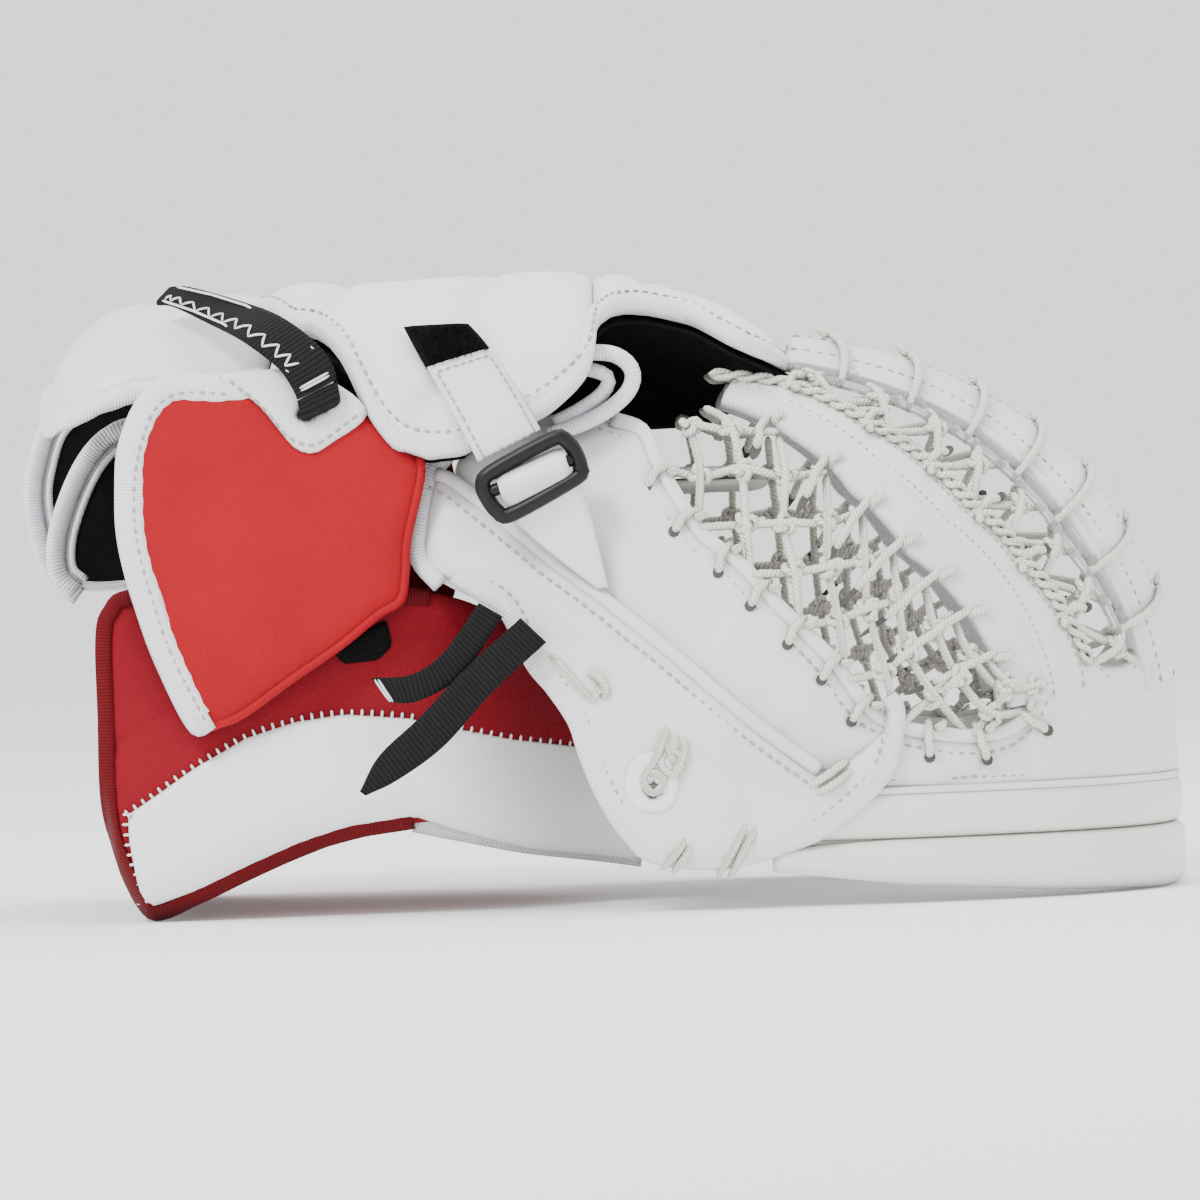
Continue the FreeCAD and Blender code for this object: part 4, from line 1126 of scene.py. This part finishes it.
loop_rows = [((-99, -101.5, 172), (-87, -101.5, 178)), ((-99.5, -105, 169.5), (-86.2, -105, 175.5)),
             ((-99.6, -107.4, 171), (-86, -107.4, 177)), ((-100.6, -107.6, 176), (-86.8, -107.6, 182.5))]
strap("wrist strap turn", loop_rows, 2.4, WEBBING, "wrist_flap")
upper_rows = [((-41, -112.5, 106), (-33, -112.5, 101)), ((-53, -114, 90), (-47, -114, 82)),
              ((-64, -114.6, 82.5), (-62, -114.6, 73.5)), ((-78, -113, 81.5), (-72, -113, 73))]
_, on = strap("adjusting strap upper", upper_rows, 2.2, WEBBING, "upper_tail", "adjusting_strap_upper")
bars("upper strap edge", on, [[(0.98, 0.05), (0.98, 0.95)], [(0.95, 0.95), (0.95, 0.05)]], THREAD, "upper_tail")
lower_rows = [((-27, -115.5, 100.5), (-18.5, -115.5, 92)), ((-46, -116.6, 84), (-38, -116.6, 75)),
              ((-62, -117.4, 68), (-54, -117.4, 58)), ((-76, -118, 55.5), (-70, -118, 47)),
              ((-83, -118, 43.5), (-81, -118, 42))]
strap("adjusting strap lower", lower_rows, 2.2, WEBBING, "lower_tail", "adjusting_strap_lower")


# ==== upper wraps ==========================================================================
def over_top(x, y, h):
    """The top wrap's surface over the wrist."""
    crown = between(x, [(-190, 184), (-184, 194), (-170, 204), (-158, 209), (-140, 211), (-112, 209)])
    side = (y - 2) / 62
    drop = 18 * abs(side) ** 2.4 if side < 0 else 12 * side**2
    return Vector((x, y, crown - drop + h * 0.95)) + Vector((0, -0.3 * h if side < -0.5 else 0, 0))


TOP = [(-186, -56), (-176, -66), (-150, -70), (-114, -72), (-110, 0), (-112, 58), (-150, 62), (-178, 58), (-189, 20),
       (-189, -30)]
place(panel("top wrist wrap", TOP, over_top, 3.6, 8, CREAM, 4.0, [([(-160, -60), (-152, 0), (-156, 50)], 4, 0.7)],
            (1.2, 28.0), 3.0, slack=0.03, lift=-0.6), "top_wrap", "top_wrist_wrap", pad=0.7)
place(panel("top wrap lining", [(x * 0.99 - 1, y * 0.93) for x, y in TOP],
            lambda x, y, h: over_top(x, y, -4.6 - h), 1.8, 4, LINING, 5.0, (), (0.5, 15.0), 0.5), "top_wrap",
      "top_wrap_lining")
place(ribbon("top wrap binding", [(-112, -72), (-150, -70), (-176, -66), (-186, -56), (-189, -30), (-189, 20),
                                  (-178, 58), (-150, 62), (-114, 58)],
             lambda x, y, h: over_top(x, y, h - 2.0), 7.0, 3.2, BINDING, lift=-0.8, wave=0.06), "top_wrap")
OUTER = [(-112, 183), (-146, 188), (-162, 186), (-175, 181), (-186, 177), (-194, 169), (-198, 158), (-200, 147),
         (-199, 135), (-196, 123), (-191, 115), (-186, 111), (-150, 112), (-114, 116)]
INNER_WRAP = [(-110, 166), (-161, 167), (-171, 165), (-178, 159), (-184, 149), (-189, 136), (-191, 126), (-190, 118),
              (-185, 113), (-160, 114), (-112, 118)]
for label, outline, y, nodes, lining_y in (("outer", OUTER, 86.0, "outer_wrist_wrap", 79.8),
                                           ("inner", INNER_WRAP, 60.0, "inner_wrist_wrap", 55.2)):
    def leaf(x, z, h, y=y):
        return Vector((x, y - 10 * max(0.0, (-150 - x) / 50) ** 2 + h * -1, z))

    place(panel(f"{label} wrist wrap", outline, leaf, 3.0, 7, PAD, 4.0, (), (0.8, 26.0), 5.0), "hand", nodes, pad=0.7)
    place(panel(f"{label} wrap lining", [(x + 3, z + (150 - z) * 0.05) for x, z in outline],
                lambda x, z, h, s=leaf: s(x, z, h + 3.2), 1.4, 3, LINING, 5.0, (), (0.6, 14.0), 0.2), "hand")
    place(ribbon(f"{label} wrap binding", outline[:-2], leaf, 7.0, 5.6, BINDING, shift=-2.6, lift=0.0, wave=0.07),
          "hand")
    place(ribbon(f"{label} wrap piping", outline[:-2], leaf, 2.4, 2.0, BINDING, shift=3.4, lift=4.2, wave=0.07), "hand")
place(panel("wrist cloth", [(-68, 104), (-50, 108), (-50, 156), (-68, 158)], flat_y(-60), 1.6, 2, RED_BIND, 4.0,
            (), (0.4, 12.0), 1.0), "hand", "wrist_cloth")

# ==== back pad =============================================================================
PAD_TOP = [(-116, 209), (-107, 212), (-98, 213.5), (-68, 212.5), (-46, 214), (-17, 214.5), (7, 214.5), (20, 211.5),
           (34, 206.5), (47, 200.5), (57, 194), (66, 186)]
PAD_LOW = [(-116, 208), (-104, 202), (-95, 200), (-88, 194), (-83, 186), (-79, 177), (-75, 169), (-70, 162),
           (-65, 158), (-57, 155), (-45, 156), (-20, 168), (-11, 174), (-4, 181), (-1, 188), (0, 194), (1, 199),
           (5, 203), (13, 205), (24, 203.5), (34, 201), (47, 193), (58, 188), (66, 184)]
ARC_Y = [(-101, 0), (-96, 0.42), (-81, 0.74), (-46, 0.955), (4, 1.0), (54, 0.955), (86, 0.74), (99, 0.42), (106, 0)]


def pad_line():
    """The pad's section as (length round it, y, share of rise), even in steps."""
    pts = smooth([Vector((y, r * 50, 0)) for y, r in ARC_Y], 8)
    return resampled(pts, 2.0)


PAD_LINE = pad_line()
PAD_GIRTH = (len(PAD_LINE) - 1) * 2.0


def pad_at(x, g, h):
    """Over the back of the hand: g is the way round from the thumb side's low edge."""
    top = between(x, PAD_TOP)
    start = min(min(between(x, PAD_LOW), top - 6), 158.0)
    f = max(0.0, min(len(PAD_LINE) - 1.001, g / 2.0))
    i = int(f)
    p = PAD_LINE[i].lerp(PAD_LINE[i + 1], f - i)
    ahead = (PAD_LINE[i + 1] - PAD_LINE[i]).normalized()
    out = Vector((0, -ahead.y, ahead.x))
    return Vector((x, p.x, start + (top - start) * p.y / 50)) + out * h


def pad_g(x, z):
    """How far round the pad's thumb side height z is, at x."""
    top = between(x, PAD_TOP)
    start = min(min(between(x, PAD_LOW), top - 6), 158.0)
    share = max(0.0, min(1.0, (z - start) / (top - start)))
    half = [p.y / 50 for p in PAD_LINE if p.x <= RIDGE_Y]
    return float(np.interp(share, half, [2.0 * k for k in range(len(half))]))


CROWN = PAD_GIRTH / 2
pad_low = [(x, pad_g(x, z)) for x, z in PAD_LOW if x <= 1]
knuckle_low = [(x, pad_g(x, z)) for x, z in PAD_LOW if x >= 0]
BACK = pad_low + [(1, CROWN), (1, PAD_GIRTH - 4), (-60, PAD_GIRTH - 3), (-104, PAD_GIRTH - 22), (-116, CROWN)]
KNUCKLE = knuckle_low + [(70, CROWN - 20), (72, CROWN), (68, PAD_GIRTH - 30), (40, PAD_GIRTH - 8),
                         (0, PAD_GIRTH - 5), (0, CROWN)]
CHANNELS = [([(-60, pad_g(-60, 170)), (-44, pad_g(-44, 190)), (-34, CROWN - 20), (-30, CROWN), (-34, CROWN + 60)],
             3.2, 2.2),
            ([(-92, pad_g(-92, 204)), (-84, CROWN - 24), (-86, CROWN + 50)], 3.4, 2.2)]
place(panel("back pad", BACK, pad_at, 5.4, 9, PAD, 4.0, CHANNELS, (1.0, 32.0), 5.0, rounded=False, slack=0.03, lift=-1.2),
      "hand", "back_pad", pad=0.8)
place(panel("knuckle pad", KNUCKLE, pad_at, 4.6, 8, PAD, 4.0,
            [([(20, pad_g(20, 208)), (18, CROWN), (20, CROWN + 70)], 3.0, 1.6)], (0.9, 28.0), 3.0, rounded=False,
            slack=0.03, lift=-1.2), "hand", "knuckle_pad", pad=0.8)
place(panel("knuckle pad lining", [(x, max(g, 2.0)) for x, g in KNUCKLE], lambda x, g, h: pad_at(x, g, -5.2 - h),
            1.2, 3, LINING, 5.0, (), (0.3, 20.0), 0.2, rounded=False), "hand")
place(panel("back pad lining", BACK, lambda x, g, h: pad_at(x, g, -7.0 - h), 1.2, 3, LINING, 6.0, (), (0.3, 20.0),
            0.2, rounded=False), "hand")
edge_line = pad_low + knuckle_low[2:]
place(ribbon("back pad binding", edge_line, pad_at, 6.4, 3.8, BINDING, shift=2.0, lift=0.2, wave=0.07), "hand")
place(stitches("back pad stitches", [[(x + 1.0, g + 7.5) for x, g in edge_line]], pad_at, GREY_THREAD, lift=4.0), "hand")

# ==== tabs and buckle on the thumb side ====================================================
def tab_y(x, z, h=0.0):
    return Vector((x, -109.4 + 0.34 * max(0.0, z - 158) - h, z))


tab_rows = [(tab_y(-56.5, 186), tab_y(-34.5, 192)), (tab_y(-49, 172), tab_y(-27, 180)),
            (tab_y(-41.5, 157), tab_y(-20, 167)), (tab_y(-40, 153.5), tab_y(-18.5, 164))]
_, on = strap("leather tab", tab_rows, 2.6, WHITE, "hand_tab", "hand_tab")
frame_row = [(0.06, 0.09), (0.94, 0.09), (0.94, 0.91), (0.06, 0.91), (0.06, 0.09)]
rows = []
for a, b in zip(frame_row, frame_row[1:]):
    count = 13 if abs(a[0] - b[0]) > 0.1 else 7
    for i in range(count):
        t0, t1 = (i + 0.15) / count, (i + 0.85) / count
        rows.append([(a[0] + (b[0] - a[0]) * t0, a[1] + (b[1] - a[1]) * t0),
                     (a[0] + (b[0] - a[0]) * t1, a[1] + (b[1] - a[1]) * t1)])
bars("leather tab stitches", on, rows, GREY_THREAD, "hand_tab", 0.42)
patch_rows = [(tab_y(-64, 200, 0.4), tab_y(-42, 200.5, 0.4)), (tab_y(-60, 192, 0.3), tab_y(-38, 196, 0.3)),
              (tab_y(-56.6, 185.5, -0.8), tab_y(-34.6, 191.5, -0.8))]
_, on = strap("loop patch", patch_rows, 3.0, HOOK, "hand_tab", "hook_patch")
fuzz = []
noise.seed_set(7)
for i in range(420):
    s, t = noise.random(), noise.random()
    p = on(0.03 + 0.94 * s, 0.05 + 0.9 * t, -0.3)
    q = p + Vector((noise.random() - 0.5, -0.9 - 0.8 * noise.random(), noise.random() - 0.5)) * 1.3
    fuzz.append([p, p.lerp(q, 0.6) + Vector((0.3, 0, 0.2)), q])
place(tubes("loop patch nap", fuzz, 0.16, HOOK, sides=3, step=0.8, per=2, twist=0.0), "hand_tab")

# the tri-glide: an outer frame with rounded edges and its middle bar
def moulded(name, ring, half, closed, where, *nodes):
    """A moulded plastic bar along a line in the buckle's plane."""
    path = smooth([Vector((x, -112.6, z)) for x, z in ring], 5, closed)
    place(tubes(name, [path], half, PLASTIC, sides=12, twist=0.0, closed=closed, per=1, step=1.2), where, *nodes)


FRAME = [(-38.5, 145.5), (-35.5, 150), (-15, 160.5), (-10.5, 160.5), (-7, 156), (-5.3, 150.5), (-7, 147.2),
         (-29, 135.6), (-33.5, 136.4), (-36.7, 140.5)]
moulded("buckle frame", FRAME, 2.7, True, "buckle", "buckle")
moulded("buckle middle bar", [(-37, 143), (-21.5, 148.6), (-6.4, 154)], 2.2, False,
        "buckle")
strap_low = [((-34.6, -109.6, 148), (-11.6, -109.6, 157.5)), ((-33.4, -115.6, 146), (-10.4, -115.6, 155.5)),
             ((-32.6, -116.4, 143), (-9.6, -116.4, 152)), ((-31, -113.2, 139), (-7.6, -113.2, 148.5)),
             ((-27, -109.6, 132), (-3.2, -109.6, 138)), ((-12.5, -109.0, 119), (0.2, -109.0, 123)),
             ((-1, -108.4, 109.5), (3, -108.4, 110))]
_, on = strap("thumb strap", strap_low, 2.0, CREAM, "hand", "thumb_strap")
ring_line = [(-1, 190), (7, 189), (12, 185.5), (13.5, 181), (11.5, 176), (6, 171), (-1, 167), (-9, 164), (-16, 162)]
place(ribbon("elastic loop", ring_line, lambda x, z, h: Vector((x, -82 - h - 0.25 * max(0, 172 - z), z)), 5.6, 3.6,
             BINDING, wave=0.05), "hand", "elastic_tab")
place(ribbon("elastic loop inner", [(-8, 184), (-1, 184), (5, 181), (3, 176), (-4, 171), (-14, 166)],
             lambda x, z, h: Vector((x, -79 - h - 0.2 * max(0, 172 - z), z)), 5.0, 3.0, PAD, wave=0.05), "hand")

# ==== inside: foam walls, plates, palm, finger and thumb stalls ============================
FOAM_OUTLINE = [(-33, 130), (-26, 112), (-14, 88), (-1, 66), (9, 44), (22, 28), (60, 26), (144, 26), (144, 56),
                (127, 50), (101, 54), (88, 60), (59, 96), (33, 122), (18, 146), (8, 160), (-20, 160), (-33, 150)]
for label, skin, body in (("thumb", wall, "thumb"), ("finger", other_side(wall), "fingers")):
    place(panel(f"{label} wall foam", FOAM_OUTLINE, lambda x, z, h, s=skin: s(x, z, h - 6.2), 0.4, 3, FOAM, 6.0, (),
                (0, 20), 11.0), body, f"{label}_wall_foam", pad=1.0)
    place(panel(f"{label} wall plate", [(x * 0.93 + 4, z * 0.95 + 4) for x, z in FOAM_OUTLINE],
                lambda x, z, h, s=skin: s(x, z, h - 18.2), 0.2, 1.5, STIFFENER, 6.0, (), (0, 20), 1.6),
          body, f"{label}_plate")
    # the pocket lining takes the grey leather whose darker tone is painted shade
    place(panel(f"{label} pocket lining", FOAM_OUTLINE, lambda x, z, h, s=skin: s(x, z, -20.6 - h), 1.6, 4, INNER_SHADED_LEATHER,
                5.0, (), (1.2, 22.0), 0.4), body, pad=0.3)

PALM = [(-60, -40), (-40, -44), (40, -44), (58, -20), (58, 28), (40, 52), (-40, 52), (-60, 48)]
place(panel("palm leather", PALM, lambda x, y, h: Vector((x, y, 143.5 - h)), 3.0, 7, INNER_SHADED_LEATHER, 5.0,
            [([(-30, -30), (0, 10), (30, 34)], 3, 1.0)], (0.9, 20.0), 2.0), "hand", "palm_leather", pad=0.4)
place(panel("palm board", [(x * 0.97, y * 0.97) for x, y in PALM], lambda x, y, h: Vector((x, y, 147 + h)), 2.6, 2.5,
            STIFFENER, 8.0, (), (0, 20), 0.6), "hand", "palm_board")
heel_line = [(-70, y, 141) for y in range(-42, 52, 4)]
place(tubes("heel roll", [heel_line], 10.5, LINING, sides=24, step=3.0, per=2, twist=0.02), "hand", "heel_pad",
      pad=0.9)


def stall(name, start, length, radius, droop, body, node_name, turn=0.0):
    """A sewn finger tube: open at the hand, closed and rounded at the end, with a lengthwise seam."""
    x0, y0, z0 = start
    rings, around = 26, 28
    verts, uvs, faces = [], [], []
    for shell, inset in ((0, 0.0), (1, 1.5)):
        for i in range(rings + 1):
            t = i / rings
            size = (radius - inset) * (1.0 if t < 0.72 else math.sqrt(max(0.0, 1 - ((t - 0.72) / 0.28) ** 2)) + 0.02)
            x = x0 + (length - inset) * t
            for k in range(around):
                w = 2 * PI * k / around
                pinch = 0.6 * noise.noise(Vector((x / 9, 3 * math.cos(w), 3 * math.sin(w) + y0)))
                seam = 0.7 * math.exp(-(((w - PI * 1.5) / 0.12) ** 2))
                r = size + (pinch + seam) * min(1.0, size / 6)
                verts.append((x, y0 + turn * t * t + r * math.cos(w), z0 - droop * t * t + r * math.sin(w)))
                uvs.append((x, w * radius))
    n = (rings + 1) * around
    for shell in (0, 1):
        for i in range(rings):
            for k in range(around):
                m = (k + 1) % around
                a = shell * n + i * around
                faces.append([a + k, a + m, a + around + m, a + around + k])
    for k in range(around):
        faces.append([k, (k + 1) % around, n + (k + 1) % around, n + k])
    for shell in (0, 1):
        faces.append([shell * n + rings * around + k for k in range(around)])
    place(new_object(name, verts, faces, LINING, uvs), body, node_name)
    cuff_ring = [(x0 + 1, y0 + (radius + 0.3) * math.cos(2 * PI * k / 24), z0 + (radius + 0.3) * math.sin(2 * PI * k / 24))
                 for k in range(24)]
    place(tubes(f"{name} hem", [cuff_ring], 1.3, WEBBING, closed=True, per=2), body)


stall("thumb stall", (-18, -60, 108), 80, 13.0, 6.0, "thumb", "thumb_stall")
for i, (label, length) in enumerate((("index", 62), ("middle", 74), ("ring", 70), ("little", 56))):
    stall(f"{label} finger stall", (-15, 68, 120 - 23.5 * i), length, 11.0, 4.0, "fingers", f"finger_stall_{label}")


# ==== camera, floor and light ==============================================================
def aim(obj, target):
    obj.rotation_euler = (Vector(target) - obj.location).to_track_quat("-Z", "Y").to_euler()


camera = bpy.data.objects.new("camera", bpy.data.cameras.new("camera"))
bpy.context.scene.collection.objects.link(camera)
camera.location = (0.0, -3.10, 0.155)
camera.data.lens = 265
aim(camera, (0.0, -0.10, 0.1055))
camera.rotation_euler.rotate_axis("Z", -0.029)
bpy.context.scene.camera = camera

paper = shader("studio_paper", (0.93, 0.93, 0.93), 0.9, Emission_Color=(1, 1, 1, 1), Emission_Strength=0.12)[0]
floor = new_object("studio floor", [(-20000, -20000, -0.5), (20000, -20000, -0.5), (20000, 20000, -0.5),
                                    (-20000, 20000, -0.5)], [[0, 1, 2, 3]], paper)

lamps = (("key", (-1.0, -1.2, 1.7), 0.5, 40), ("fill", (1.3, -1.6, 0.7), 1.2, 3), ("top", (0.1, 0.1, 1.9), 1.0, 12),
         ("rim", (1.2, 0.9, 0.9), 0.7, 7))
for name, at, size, power in lamps:
    light = bpy.data.objects.new(name, bpy.data.lights.new(name, "AREA"))
    light.data.size = size
    light.data.energy = power
    light.location = at
    aim(light, (0, 0, 0.1))
    bpy.context.scene.collection.objects.link(light)
world = bpy.data.worlds.new("studio")
world.use_nodes = True
world.node_tree.nodes["Background"].inputs["Color"].default_value = (1, 1, 1, 1)
world.node_tree.nodes["Background"].inputs["Strength"].default_value = 1.5
bpy.context.scene.world = world
